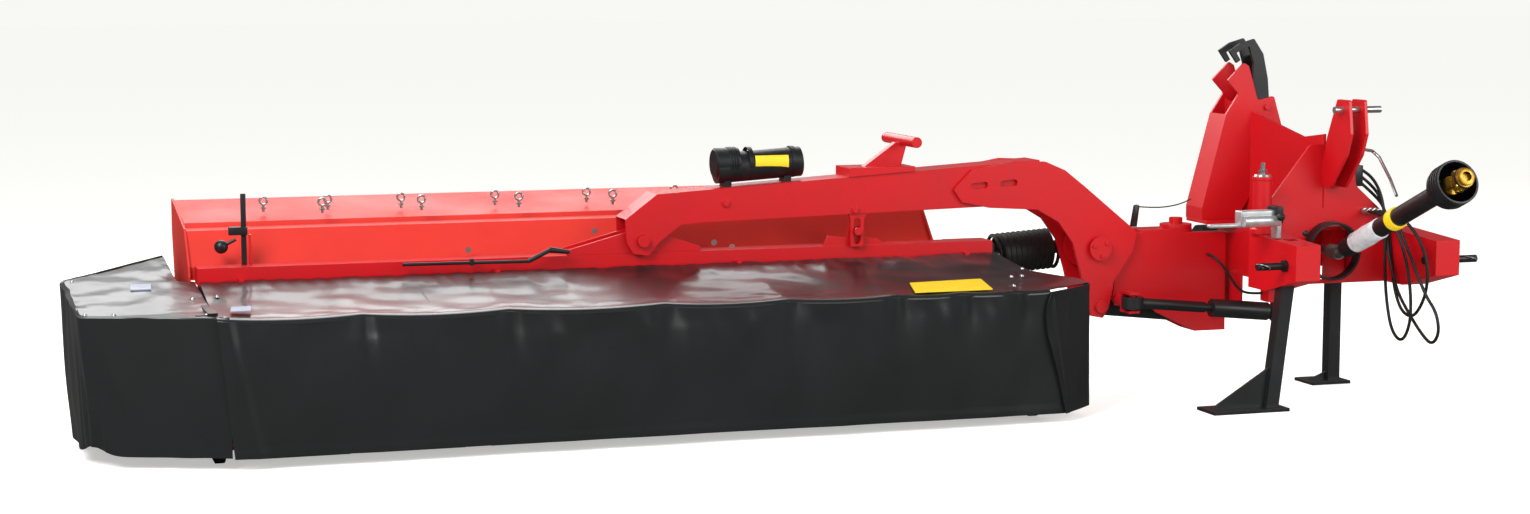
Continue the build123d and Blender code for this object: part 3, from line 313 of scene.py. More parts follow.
def add_lathe(bm: Mesh, profile: Sequence[Flat], start: Spot,
              towards: Spot, steps: int = 32) -> None:
    """Spin a profile of (radius, height) about the line from start towards a point.

    Args:
        bm: Mesh that takes it.
        profile: Radius and height of each corner.
        start: Point of height 0 on the axis.
        towards: Point that the axis runs to.
        steps: Steps of the full turn.
    """
    verts = [bm.verts.new((r, 0.0, h)) for r, h in profile]
    edges = [bm.edges.new(pair) for pair in zip(verts, verts[1:])]
    bmesh.ops.spin(bm, geom=verts + edges, cent=(0, 0, 0), axis=(0, 0, 1), angle=math.tau, steps=steps,
                   use_merge=True, use_duplicate=False)
    settle(bm, verts[0], standing(start, towards))


def settle(bm: Mesh, seed: bmesh.types.BMVert, matrix: Matrix) -> None:
    """Move all that hangs together with a vertex to its place and turn its normals out.

    Args:
        bm: Mesh that holds it.
        seed: The vertex.
        matrix: Where it goes.
    """
    every, todo = {seed}, [seed]
    while todo:
        for edge in todo.pop().link_edges:
            for vert in edge.verts:
                if vert not in every:
                    every.add(vert)
                    todo.append(vert)
    bmesh.ops.transform(bm, matrix=matrix, verts=list(every))
    bmesh.ops.recalc_face_normals(bm, faces=list({f for v in every for f in v.link_faces}))


def add_plate(bm: Mesh, points: Sequence[Point], depth: Spot) -> None:
    """Add a flat plate.

    Args:
        bm: Mesh that takes it.
        points: Corners of its closed outline.
        depth: Vector along which the outline is pushed.
    """
    face = bm.faces.new([bm.verts.new(p) for p in points])
    grown = bmesh.ops.extrude_face_region(bm, geom=[face])["geom"]
    tops = [g for g in grown if isinstance(g, bmesh.types.BMVert)]
    bmesh.ops.translate(bm, vec=Vector(depth), verts=tops)
    settle(bm, tops[0], Matrix())


def round_edges(bm: Mesh, width: float, angle: float = 35.0, segments: int = 2) -> None:
    """Bevel the sharp edges.

    Args:
        bm: Mesh to bevel.
        width: Width of the bevel.
        angle: Angle in degrees from which an edge is sharp.
        segments: Steps across the bevel.
    """
    sharp = [e for e in bm.edges if len(e.link_faces) == 2 and e.calc_face_angle(0.0) > math.radians(angle)]
    bmesh.ops.bevel(bm, geom=sharp, offset=width, offset_type="OFFSET", affect="EDGES", segments=segments,
                    profile=0.5, clamp_overlap=True, material=-1)


def make(name: str, bm: Mesh, finish: Finish, body: str, gone: Sequence[str] = (), smooth: float = 40.0) -> bpy.types.Object:
    """Turn a mesh in layout millimetres into a finished piece on its body.

    Args:
        name: Name of the piece.
        bm: Mesh, freed here.
        finish: Its material.
        body: Body it rides on.
        gone: CAD nodes it stands for.
        smooth: Angle in degrees up to which faces shade smoothly.

    Returns:
        The new object.
    """
    bmesh.ops.transform(bm, matrix=LAYOUT.matrix(), verts=bm.verts)
    mesh = bpy.data.meshes.new(name)
    bm.to_mesh(mesh)
    bm.free()
    mesh.shade_smooth()
    mesh.set_sharp_from_angle(angle=math.radians(smooth))
    mesh.materials.append(finish.build())
    obj = bpy.data.objects.new(name, mesh)
    bpy.context.scene.collection.objects.link(obj)
    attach(obj, body)
    if gone:
        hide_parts(*gone)
    LOG.info("%s on %s", name, body)
    return obj


# -------- CAD nodes' finishes
class CarriedNodes:
    """Finishes of the CAD nodes whose shape stays."""

    BY_SLOT = {finish.slot: finish for finish in (RED, HOOD_RED_PAINTED_LIGHT, BLACK, ZINC, STEEL, IRON, TARP, PLASTIC)}
    BY_NODE = {"fold_pin": RED, "tilt_pin": RED, "swing_pin": RED, "lower_link_pin_left": DARK,
               "lower_link_pin_right": DARK, "break_rod": BLACK, "header_shaft": RUBBER}

    def dress(self) -> None:
        """Give each node its own material, or that of its slot."""
        for part in frame["record"]["subparts"]:
            mesh = frame["nodes"][part["node"]].data
            finish = self.BY_NODE.get(part["node"], self.BY_SLOT[part["material_slot"]]).build()
            mesh.materials.clear()
            mesh.materials.append(finish)


# -------- cloth
def add_cloth(bm: Mesh, across: int, along: int, place: Callable[[float, float], Point],
              thick: float = 2.5) -> None:
    """Add a cloth: a grid laid out by a function of two shares, given a thickness.

    Args:
        bm: Mesh that takes it.
        across: Cells along the first share.
        along: Cells along the second share.
        place: Point of the cloth for the shares u and v, each from 0 to 1.
        thick: Thickness of the coated cloth.
    """
    made = bmesh.ops.create_grid(bm, x_segments=across, y_segments=along, size=0.5)["verts"]
    for vert in made:
        vert.co = place(min(max(vert.co.x + 0.5, 0.0), 1.0), min(max(vert.co.y + 0.5, 0.0), 1.0))
    faces = list({f for v in made for f in v.link_faces})
    bmesh.ops.recalc_face_normals(bm, faces=faces)
    bmesh.ops.solidify(bm, geom=faces, thickness=thick)


def rough(x: float, y: float, seed: float) -> float:
    """Read smooth noise, from about -1 to 1, at a place on the layer of a seed."""
    return noise.noise(Vector((x, y, seed)))


def mix(a: float, b: float, share: float) -> float:
    """Find the value at a share of the way from a to b."""
    return a + (b - a) * share


def between(value: float, table: Sequence[Flat]) -> float:
    """Read a value from a table, straight between its entries.

    Args:
        value: Where to read.
        table: Pairs of place and value, rising in place.

    Returns:
        The value there.
    """
    if value <= table[0][0]:
        return table[0][1]
    for (x0, y0), (x1, y1) in zip(table, table[1:]):
        if value <= x1:
            return mix(y0, y1, (value - x0) / (x1 - x0))
    return table[-1][1]


def follow(path: Sequence[Flat], share: float, soft: float) -> Flat:
    """Follow a path in plan.

    Args:
        path: Its corners.
        share: Share of its length, from 0 to 1.
        soft: Length over which its corners are rounded.

    Returns:
        The point there.
    """
    spans = [math.dist(a, b) for a, b in zip(path, path[1:])]
    total = sum(spans)

    def at(length: float) -> Vector:
        """Point of the sharp path at a length."""
        length = min(max(length, 0.0), total)
        for a, b, span in zip(path, path[1:], spans):
            if length <= span:
                return Vector(a).lerp(Vector(b), length / span)
            length -= span
        return Vector(path[-1])

    here = share * total
    reach = min(soft, here, total - here)
    steps = [at(here + reach * k / 3) for k in range(-3, 4)]
    middle = sum(steps, Vector((0.0, 0.0))) / len(steps)
    return middle.x, middle.y


@dataclass
class Tarpaulins:
    """Guard cloths of the cutterbar: lids on tube frames, and curtains that hang from them."""

    # share of v that the lid's rolled front edge takes, and the skirt's tucked top
    ROLL, TUCK = 0.06, 0.05

    left: float = -4189.0
    right: float = -1262.0
    front: float = 36.0
    rear: float = 604.0
    lip: float = 14.0
    ties: tuple[float, ...] = (-4189.0, -3720.0, -3230.0, -2689.0, -2250.0, -1852.0, -1602.0, -1393.0,
                               -1262.0)

    def crease(self, x: float) -> float:
        """Find the height of the front fold, which sags between its ties.

        Args:
            x: Place along it.

        Returns:
            The height.
        """
        level = mix(503.0, 484.0, (x - self.left) / (self.right - self.left))
        for a, b in zip(self.ties, self.ties[1:]):
            if a <= x <= b:
                share = (x - a) / (b - a)
                return level - 4 * share * (1 - share) * min(0.022 * (b - a), 11.0)
        return level

    def top(self, u: float, v: float) -> Point:
        """Lid over the discs, rolled over its front edge.

        Args:
            u: Share from left to right.
            v: Share from front to rear.

        Returns:
            The point there.
        """
        if v < self.ROLL:
            turn = v / self.ROLL * math.pi / 2
            x = mix(self.left, self.right, u)
            z = self.crease(x) - self.lip * (1 - math.sin(turn))
            return x, self.front + self.lip * (1 - math.cos(turn)), z
        share = (v - self.ROLL) / (1 - self.ROLL)
        y = mix(self.front + self.lip, self.rear, share)
        right = between(y, ((45, self.right), (140, -1070), (210, -1072), (360, -1200), (604, -1235)))
        x = mix(self.left + 3 * share, right, u)
        z = mix(self.crease(min(x, self.right)), 553.0, share) - 8 * math.sin(math.pi * share)
        near = max(0.0, 1 - share / 0.14)
        z += 1.6 if share < 0.05 else 0.0
        z += 5.0 * rough(x / 150, y / 120, 1.0) * (1 - near) * (0.4 + 0.6 * share)
        ridge = abs(rough(x / 62, y / 190, 2.0))
        z += 9.0 * (0.5 - ridge) * max(0.0, (share - 0.62) / 0.38) ** 1.2
        z += 6.0 * rough(x / 75, y / 60, 4.0) * max(0.0, 1 - abs(share - 0.12) / 0.12) * 0.5
        return x, y, z

    def curtain(self, u: float, v: float) -> Point:
        """Front curtain, which hangs from the fold in soft flutes.

        Args:
            u: Share from left to right.
            v: Share from top to hem.

        Returns:
            The point there.
        """
        hem = mix(self.left, -4142.0, v)
        x = mix(hem, mix(-1250.0, -1180.0, v), u)
        z = mix(self.crease(min(x, self.right)) - 7.0, mix(40.0, 34.0, u), v)
        bulge = sum(17.0 * math.exp(-(((x - a) / (24 + 80 * v)) ** 2)) for a in self.ties[1:-1])
        y = self.front + 1.2 - bulge * math.exp(-2.0 * v)
        y += 20.0 * rough(x / 165 + v * 0.9, v * 1.1, 3.0) * (0.35 + 0.65 * (1 - v)) * min(v * 6, 1.0)
        y += 7.0 * rough(x / 52, v * 3.0, 7.0) * math.exp(-4 * v) * min(v * 9, 1.0)
        y += 9.0 * rough(x / 380, 0.2, 9.0) * v
        y -= 14.0 * math.exp(-(((x - self.left - 26 - 95 * v) / 26) ** 2)) * (1 - 0.5 * v)
        if v > 0.94:
            y -= 1.4
        if x < hem + 34:
            y -= 1.8
        return x, min(y, self.front + 9), z

    def flap(self, u: float, v: float) -> Point:
        """Corner flap at the right end, round the cover's cut corner.

        Args:
            u: Share along the corner.
            v: Share from top to hem.

        Returns:
            The point there.
        """
        start = between(v, ((0.0, -1262), (0.1, -1279), (0.19, -1285), (0.35, -1276), (0.7, -1232),
                            (1.0, -1201)))
        path = [(start, 25.0), (-1064 + 6 * v, 132.0), (-1062 + 6 * v, 200.0)]
        x, y = follow(path, u, 16.0)
        high = between(u, ((0.0, 478), (0.72, 486), (1.0, 492)))
        z = mix(high, between(u, ((0.0, 34), (0.72, 42), (1.0, 56))), v)
        crumple = rough(x / 34, v * 6, 11.0) * 7.0 * math.exp(-5 * v)
        wave = rough(x / 80, v * 2, 13.0) * 5.0 * (1 - u)
        return x + (crumple + wave) * 0.5, y - abs(crumple) * 0.6 - wave, z

    def deck(self, u: float, v: float) -> Point:
        """Lid of the outer end, rising to the rear.

        Args:
            u: Share from right to left.
            v: Share from front to rear.

        Returns:
            The point there.
        """
        y = mix(62.0, 1168.0, v)
        left = between(y, ((60, -4200), (100, -4300), (205, -4590), (225, -4608), (784, -4636), (806, -4620),
                           (1150, -4280), (1170, -4262)))
        right = between(y, ((60, -4187), (710, -4194), (720, -4255), (1170, -4257)))
        x = mix(right, left, u)
        z = self.deck_height(y) + 6 * math.sin(math.pi * u) * math.sin(math.pi * v)
        edge = 0.3 + 0.7 * abs(2 * u - 1) ** 3
        z += 4.0 * rough(x / 110, y / 140, 21.0) + 2.5 * rough(x / 40, y / 60, 22.0) * edge
        return x, y, z

    @staticmethod
    def deck_height(y: float) -> float:
        """Height of the end lid at a depth."""
        return 500.0 + 0.09 * max(0.0, y - 214.0)

    def skirt(self, u: float, v: float) -> Point:
        """Curtain round the outer end, tucked in at its lower corner.

        Args:
            u: Share along the end, from the front.
            v: Share from top to hem.

        Returns:
            The point there.
        """
        path = [(-4148.0, 50.0), (-4190.0, 58.0), (-4613.0, 214.0), (-4641.0, 784.0), (-4259.0, 1170.0)]
        x, y = follow(path, u, 26.0)
        corner = math.exp(-(((u - 0.31) / 0.05) ** 2)) + 0.8 * math.exp(-(((u - 0.67) / 0.05) ** 2))
        high = self.deck_height(y) - 1.0
        inward = drop = 0.0
        if v < self.TUCK:
            turn = (1 - v / self.TUCK) * math.pi / 2
            inward = 15.0 * math.sin(turn)
            high += 5.0 * math.sin(turn)
        else:
            drop = (v - self.TUCK) / (1 - self.TUCK)
        low = 42.0 + 26.0 * min(corner, 1.0)
        fold = 19.0 * rough(u * 15 + drop * 1.4, drop * 1.1, 31.0) * (0.3 + 0.7 * drop)
        fold += 16 * corner * rough(u * 60, drop * 1.5, 33.0) * drop
        inward += fold + 44.0 * drop * min(corner, 1.0) + 16.0 * drop ** 2
        if u < 0.04:
            inward *= u / 0.04
        toward = unit((x, y), (-4330.0, 620.0))
        return x + toward.x * inward, y + toward.y * inward, mix(high, low, drop)

    def build(self) -> None:
        """Make the five cloths, their frames, studs and blank labels."""
        self._frames()
        for name, cells, place, body, gone, flat, area, held in (
                ("front_lid_cloth", (260, 56), self.top, "front_cover", ("front_cover",), (2.955, 0.60), None,
                 "stretched"),
                ("front_curtain_cloth", (270, 40), self.curtain, "front_curtain", ("front_curtain",),
                 (2.96, 0.43), None, "hung"),
                ("corner_flap_cloth", (30, 36), self.flap, "front_curtain", (), (0.30, 0.45), None, "hung"),
                ("end_lid_cloth", (40, 92), self.deck, "end_cover", ("end_cover",), (0.45, 1.11), 0.375,
                 "stretched"),
                ("end_skirt_cloth", (170, 40), self.skirt, "end_cover", ("end_curtain",), (1.61, 0.46), None,
                 "hung")):
            bm = bmesh.new()
            add_cloth(bm, *cells, place)
            cloth = make(name, bm, TARP, body, gone, smooth=50)
        self._studs()

    def _frames(self) -> None:
        """Tube frames under the lids."""
        left, right, near, far = self.left + 24, self.right - 20, 80, 588
        high, low, rear = 481, 462, 537
        bm = bmesh.new()
        add_rod(bm, (left, near, high), (right, near, low), 8)
        add_rod(bm, (left, far, rear), (right, far, rear), 9)
        for x in (left, -3460.0, -2730.0, -2000.0, right):
            front = mix(high, low, (x - self.left) / (self.right - self.left))
            add_rod(bm, (x, near, front), (x, far, rear), 8)
        make("front_lid_frame", bm, BLACK, "front_cover")
        bm = bmesh.new()
        ring = [(-4212, 84), (-4592, 228), (-4616, 776), (-4272, 1140)]
        for a, b in zip(ring, ring[1:] + ring[:1]):
            add_rod(bm, (*a, self.deck_height(a[1]) - 16), (*b, self.deck_height(b[1]) - 16), 8)
        make("end_lid_frame", bm, BLACK, "end_cover")

    def _studs(self) -> None:
        """Domed rivets through the lids, and labels left blank."""
        for name, body, spots in (
                ("end_lid_rivets", "end_cover",
                 ((-4245, 900), (-4228, 419), (-4213, 130), (-4500, 216), (-4590, 236), (-4600, 760))),
                ("front_lid_rivets", "front_cover",
                 ((-4150, 395), (-4160, 70), (-1292, 223), (-1337, 215), (-1240, 340), (-1390, 70),
                  (-1230, 590)))):
            bm = bmesh.new()
            for x, y in spots:
                z = self.deck_height(y) + 5 if body == "end_cover" else mix(497, 551, (y - 36) / 568)
                add_rod(bm, (x, y, z - 3), (x, y, z + 5), 9, 5, 20)
            round_edges(bm, 1.2)
            make(name, bm, ZINC, body)
        for name, finish, body, thick, corners in (
                ("front_lid_label", LABEL, "front_cover", 4.0,
                 ((-1733, 211, 503), (-1449, 237, 504), (-1475, 64, 489), (-1772, 58, 490))),
                ("front_lid_tag", TAG, "front_cover", 3.5,
                 ((-4138, 120, 512), (-4072, 120, 512), (-4060, 190, 518), (-4126, 190, 518))),
                ("end_lid_tag", TAG, "end_cover", 4.0,
                 ((-4420, 560, 540), (-4352, 560, 540), (-4346, 650, 548), (-4414, 650, 548)))):
            bm = bmesh.new()
            add_plate(bm, corners, (0, 0, thick))
            make(name, bm, finish, body)


# -------- hoses and rope
class Lines:
    """Hydraulic hoses that hang from the headstock, and the release rope."""

    HOSES = (
        [(144, 312, 860), (180, 303, 842), (200, 256, 782), (205, 226, 690), (206, 222, 575), (206, 216, 459),
         (203, 193, 353), (198, 144, 252), (189, 56, 224), (180, -11, 303), (173, -22, 411), (164, -9, 515),
         (155, 18, 599), (146, 72, 676), (141, 156, 704), (141, 239.7, 704)],
        [(144, 312, 835), (184, 304, 806), (212, 262, 748), (219, 238, 664), (219, 226, 575), (218, 188, 481),
         (213, 131, 400), (206, 39, 334), (200, -52, 276), (194, -138, 240), (188, -196, 295),
         (184, -176, 372), (180, -112, 420), (174, -50, 508), (169, 10, 594), (166, 74, 678), (164, 156, 704),
         (164, 239.7, 704)],
        [(144, 312, 811), (186, 300, 774), (222, 266, 724), (233, 248, 652), (233, 229, 575), (231, 206, 489),
         (229, 182, 403), (226, 126, 332), (222, 41, 318), (214, -37, 383), (207, -79, 465), (201, -78, 548),
         (196, -35, 622), (190, 46, 682), (187, 146, 704), (187, 239.7, 704)])
    ROPE = [(-371.0, 700, 727), (-395, 708, 712), (-450, 716, 698), (-520, 722, 694), (-581.0, 725, 700)]
    BREAK = [(-343, 606.7, 518), (-343, 571, 518), (-322, 540, 494), (-292, 528, 448), (-264, 522, 402),
             (-238, 510, 378), (-200, 500, 372), (-160.3, 500, 372)]

    def build(self) -> None:
        """Make the hoses, the rope and what holds their ends."""
        block = bmesh.new()
        add_box(block, (100, 291, 796), (146, 326, 876))
        round_edges(block, 3)
        for z in (860, 835, 811):
            add_rod(block, (141, 312, z), (150, 312, z), 10, sides=6)
        make("hose_block", block, BLACK, "headstock")
        for i, route in enumerate(self.HOSES):
            x = route[-1][0]
            coupler = bmesh.new()
            add_rod(coupler, (x, 238, 704), (x, 262, 704), 9.5, sides=6)
            add_rod(coupler, (x, 262, 704), (x, 279, 704), 11)
            round_edges(coupler, 0.8)
            end = make(f"hose_coupler_{i + 1}", coupler, ZINC, "headstock")
            hose = self.line(f"hydraulic_hose_{i + 1}", route, 12.0, RUBBER, "headstock")
            self.length(hose)
        plate = bmesh.new()
        corners = [(-619, 721, 622), (-590, 721, 622), (-580, 721, 700), (-590, 721, 709), (-604, 721, 706)]
        add_plate(plate, corners, (0, 8, 0))
        round_edges(plate, 1.5)
        make("lever_plate", plate, BLACK, "swing")
        for name, route, size, body, stiff in (("release_rope", self.ROPE, 5.0, "headstock", "limp"),
                                               ("damper_hose", self.BREAK, 10.0, "swing", "stiff")):
            cord = self.line(name, route, size, RUBBER, body)
            ends = []
            if name == "release_rope":
                clip = bmesh.new()
                Fittings.ring(clip, (-587, 725, 700), 6.5, 1.6, (0, 1, 0))
                ends = [make("release_rope_clip", clip, ZINC, body)]
            self.length(cord)

    def line(self, name: str, points: Sequence[Point], diameter: float, finish: Finish,
             body: str) -> bpy.types.Object:
        """Make one round line as a curve through chosen points.

        Args:
            name: Name of the piece.
            points: Points in layout millimetres, the way out of the machine first.
            diameter: Diameter in millimetres.
            finish: Its material.
            body: Body it rides on.

        Returns:
            The new curve.
        """
        data = bpy.data.curves.new(name, "CURVE")
        data.dimensions = "3D"
        data.bevel_depth = diameter / 2 * MM
        data.bevel_resolution = 6
        data.use_fill_caps = True
        spline = data.splines.new("NURBS")
        spline.points.add(len(points) - 1)
        for point, spot in zip(spline.points, points):
            point.co = (*LAYOUT.at(*spot), 1.0)
        spline.order_u = 3
        spline.use_endpoint_u = True
        spline.resolution_u = 10
        data.materials.append(finish.build())
        obj = bpy.data.objects.new(name, data)
        bpy.context.scene.collection.objects.link(obj)
        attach(obj, body)
        return obj

    @staticmethod
    def length(obj: bpy.types.Object) -> float:
        """Measure a line along its middle.

        Args:
            obj: The curve.

        Returns:
            Length in metres.
        """
        flat = obj.data.copy()
        flat.bevel_depth = 0.0
        flat.use_fill_caps = False
        probe = bpy.data.objects.new("probe", flat)
        mesh = probe.to_mesh()
        spots = [vert.co for vert in mesh.vertices]
        total = sum((spots[a] - spots[b]).length for a, b in (edge.vertices for edge in mesh.edges))
        probe.to_mesh_clear()
        bpy.data.objects.remove(probe)
        bpy.data.curves.remove(flat)
        return total


# -------- joint shaft
@dataclass
class JointShaft:
    """Universal-joint shaft: ribbed guard, film, collar and gold forks."""

    joint: Point = (0.0, 205.0, 556.0)
    tip: Point = (-41.0, -690.0, 915.0)

    def at(self, d: float) -> Vector:
        """Point on the axis at a distance from the rear joint."""
        return Vector(self.joint) + unit(self.joint, self.tip) * d

    def build(self) -> None:
        """Make the guard, its bell and what turns inside it."""
        long = (Vector(self.tip) - Vector(self.joint)).length
        bm = bmesh.new()
        start, end = long - 200, long - 60
        outside = [(35, 60), (35, start), (44, start), (44, start + 16)]
        for i in range(7):
            z = start + 22 + i * 17
            wide = 44 + 36 * min((i + 1.5) / 4, 1)
            outside += [(wide - 8, z - 3), (wide, z), (wide, z + 6), (wide - 8, z + 9)]
        outside += [(79, end), (72, end), (68, start + 60), (40, start + 24), (30, start + 20), (30, 60)]
        add_lathe(bm, outside, self.joint, self.tip, 48)
        make("pto_ribbed_guard", bm, PLASTIC, "pto_guard", ("pto_guard",), smooth=30)
        bm = bmesh.new()
        add_lathe(bm, [(35.2, 430), (40, 432), (41, 438), (41, 468), (39, 474), (35.2, 476)], self.joint,
                  self.tip, 40)
        make("pto_yellow_collar", bm, LABEL, "pto_guard")
        bm = bmesh.new()
        add_lathe(bm, [(35.2, 140), (39, 144), (38.5, 200), (40, 236), (38.2, 290), (39.5, 330), (35.2, 336)],
                  self.joint, self.tip, 40)
        for vert in bm.verts:
            x, y, z = vert.co
            vert.co += Vector((rough(y / 16, z / 16, 3), 0, rough(x / 14, y / 14, 5))) * 1.8
        make("pto_film", bm, FILM, "pto_guard")
        self._forks(long)

    def _forks(self, long: float) -> None:
        """Inner tube, both forks, the cross and the collars.

        Args:
            long: Distance between the shaft's two ends.
        """
        bm = bmesh.new()
        add_rod(bm, self.at(-8), self.at(60), 14)
        add_rod(bm, self.at(50), self.at(long - 130), 22)
        add_lathe(bm, [(0.01, -19), (12, -16), (20, 0), (12, 16), (0.01, 19)], self.joint, self.tip, 32)
        make("pto_inner_tube", bm, STEEL, "pto_core", ("pto_core",))
        axis = unit(self.joint, self.tip)
        side = axis.cross(Vector((0, 0, 1))).normalized()
        up = side.cross(axis).normalized()
        turn = Matrix((side, up, axis)).transposed().to_4x4()
        bm = bmesh.new()
        middle = self.at(long - 62)
        inner = Matrix.Translation(middle) @ turn
        for s in (-1, 1):
            add_box(bm, (s * 27 - 6, -19, -44), (s * 27 + 6, 19, 6), inner)
            add_box(bm, (-19, s * 27 - 6, -6), (19, s * 27 + 6, 44), inner)
        add_rod(bm, middle - axis * 66, middle - axis * 40, 34)
        add_rod(bm, middle + axis * 38, middle + axis * 52, 36)
        round_edges(bm, 3.0)
        for s in (-1, 1):
            add_rod(bm, middle + side * s * 12, middle + side * s * 37, 15)
            add_rod(bm, middle + up * s * 12, middle + up * s * 37, 15)
        make("pto_forks", bm, BRASS, "pto_core")
        bm = bmesh.new()
        add_rod(bm, middle - side * 36, middle + side * 36, 9)
        add_rod(bm, middle - up * 36, middle + up * 36, 9)
        make("pto_cross", bm, STEEL, "pto_core")
        for name, finish, profile in (
                ("pto_lock_collar", BRASS,
                 [(17.4, long - 12), (26, long - 12), (31, long - 4), (31, long + 2), (26, long + 4),
                  (17.4, long + 4)]),
                ("pto_collar", PLASTIC,
                 [(30, long - 22), (37, long - 20), (37, long - 12), (30, long - 10)])):
            bm = bmesh.new()
            add_lathe(bm, profile, self.joint, self.tip, 40)
            make(name, bm, finish, "pto_core")


# -------- fittings
class Fittings:
    """Small parts that the CAD nodes leave to the looks."""

    # X of the eye bolts along the hood
    EYES_REAR = (-3914, -3683, -3416, -3067, -2719, -2378)
    EYES_FRONT = (-3725, -3368, -3010, -2657)

    def build(self) -> None:
        """Make all of them, sub-assembly by sub-assembly."""
        for step in (self.hood, self.adjuster, self.knife_key, self.tube, self.headstock, self.boom,
                     self.drive):
            step()

    def hood(self) -> None:
        """Eye bolts along the hood and the screws in its front wall."""
        bm = bmesh.new()
        for y, row, base in ((1010, self.EYES_REAR, 765), (860, self.EYES_FRONT, 769)):
            for x in row:
                add_rod(bm, (x, y, base - 12), (x, y, base + 16), 5)
                add_rod(bm, (x, y, base), (x, y, base + 5), 11, sides=6)
                self.ring(bm, (x, y, base + 28), 13, 4.2, (0.25, 1, 0))
        make("hood_eye_bolts", bm, ZINC, "header")
        bm = bmesh.new()
        for x, z in ((-3228, 622), (-2764, 676), (-2310, 619), (-2241, 600)):
            add_rod(bm, (x, 716, z), (x, 726, z), 11, 8, 20)
        make("hood_screws", bm, ZINC, "header")

    @staticmethod
    def measured(name: str) -> tuple[float, float, float, float, float]:
        """Measure a CAD node that lies along X.

        Args:
            name: Name of the node.

        Returns:
            Its lowest and highest X, its Y, its radius and its height, in layout millimetres.
        """
        low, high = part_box(name)
        x0, x1 = [(c.x - LAYOUT.shift.x) / MM for c in (low, high)]
        y = ((low.y + high.y) / 2 - LAYOUT.shift.y) / MM
        radius = (high.y - low.y) / MM / 2
        return x0, x1, y, radius, high.z / MM - radius

    @staticmethod
    def ring(bm: Mesh, middle: Spot, radius: float, wire: float, axis: Spot) -> None:
        """Add a closed ring of round wire.

        Args:
            bm: Mesh that takes it.
            middle: Middle of the ring.
            radius: Radius of the wire's middle line.
            wire: Radius of the wire.
            axis: Direction of the ring's axis.
        """
        upright = Matrix.Translation((radius, 0, 0)) @ Matrix.Rotation(math.pi / 2, 4, "X")
        disc = bmesh.ops.create_circle(bm, cap_ends=False, segments=12, radius=wire, matrix=upright)
        verts = disc["verts"]
        edges = list({e for v in verts for e in v.link_edges})
        bmesh.ops.spin(bm, geom=verts + edges, cent=(0, 0, 0), axis=(0, 0, 1), angle=math.tau, steps=28,
                       use_merge=True, use_duplicate=False)
        settle(bm, verts[0], standing(middle, Vector(middle) + Vector(axis)))

    def adjuster(self) -> None:
        """Upright bar with a ball knob that sets the conditioner, at the outer end."""
        bm = bmesh.new()
        add_box(bm, (-4031, 694, 577), (-4013, 706, 848))
        add_box(bm, (-4074, 684, 705), (-4010, 714, 733))
        round_edges(bm, 2)
        add_rod(bm, (-4050, 696, 690), (-4100, 696, 665), 6)
        make("adjuster_bar", bm, BLACK, "header")
        bm = bmesh.new()
        bmesh.ops.create_uvsphere(bm, u_segments=32, v_segments=20, radius=24,
                                  matrix=Matrix.Translation((-4100, 700, 665)))
        make("adjuster_knob", bm, PLASTIC, "header")
        bm = bmesh.new()
        add_box(bm, (-4004, 690, 561), (-3996, 716, 705))
        round_edges(bm, 2)
        make("adjuster_bracket", bm, RED, "header")

    def knife_key(self) -> None:
        """Key for changing the knives, clipped along the beam."""
        bm = bmesh.new()
        add_rod(bm, (-3490, 581, 594), (-3040, 581, 590), 6)
        add_rod(bm, (-3040, 581, 590), (-2960, 581, 628), 8)
        add_rod(bm, (-2960, 581, 628), (-2890, 581, 618), 11, 7)
        add_box(bm, (-3250, 572, 582), (-3238, 594, 606))
        make("knife_key", bm, BLACK, "header")

    def tube(self) -> None:
        """Ribbed cap, straps and the blank label of the document tube."""
        x0, x1, y, radius, z = self.measured("document_tube")
        rib = radius + 1
        profile = [(0.01, 0), (radius - 6, 0), (rib, 6), (rib, 46)]
        for h in range(50, 86, 9):
            profile += [(rib, h), (rib + 3, h + 2), (rib + 3, h + 6), (rib, h + 8)]
        profile += [(radius + 0.5, 92), (0.01, 92)]
        bm = bmesh.new()
        add_lathe(bm, profile, (x0 - 4, y, z), (x1, y, z), 48)
        strap = [(radius + 0.2, 0), (radius + 3, 1), (radius + 3, 17), (radius + 0.2, 18)]
        for x in (x0 + 120, x1 - 46):
            add_lathe(bm, strap, (x, y, z), (x + 50, y, z), 48)
        make("document_tube_cap", bm, PLASTIC, "boom", smooth=30)
        bm = bmesh.new()
        label = bmesh.ops.create_grid(bm, x_segments=2, y_segments=14, size=0.5)["verts"]
        for vert in label:
            turn = math.radians(mix(-28, 30, vert.co.y + 0.5))
            x = mix(x1 - 190, x1 - 62, vert.co.x + 0.5)
            vert.co = (x, y - rib * math.cos(turn), z + rib * math.sin(turn))
        make("document_tube_label", bm, LABEL, "boom")

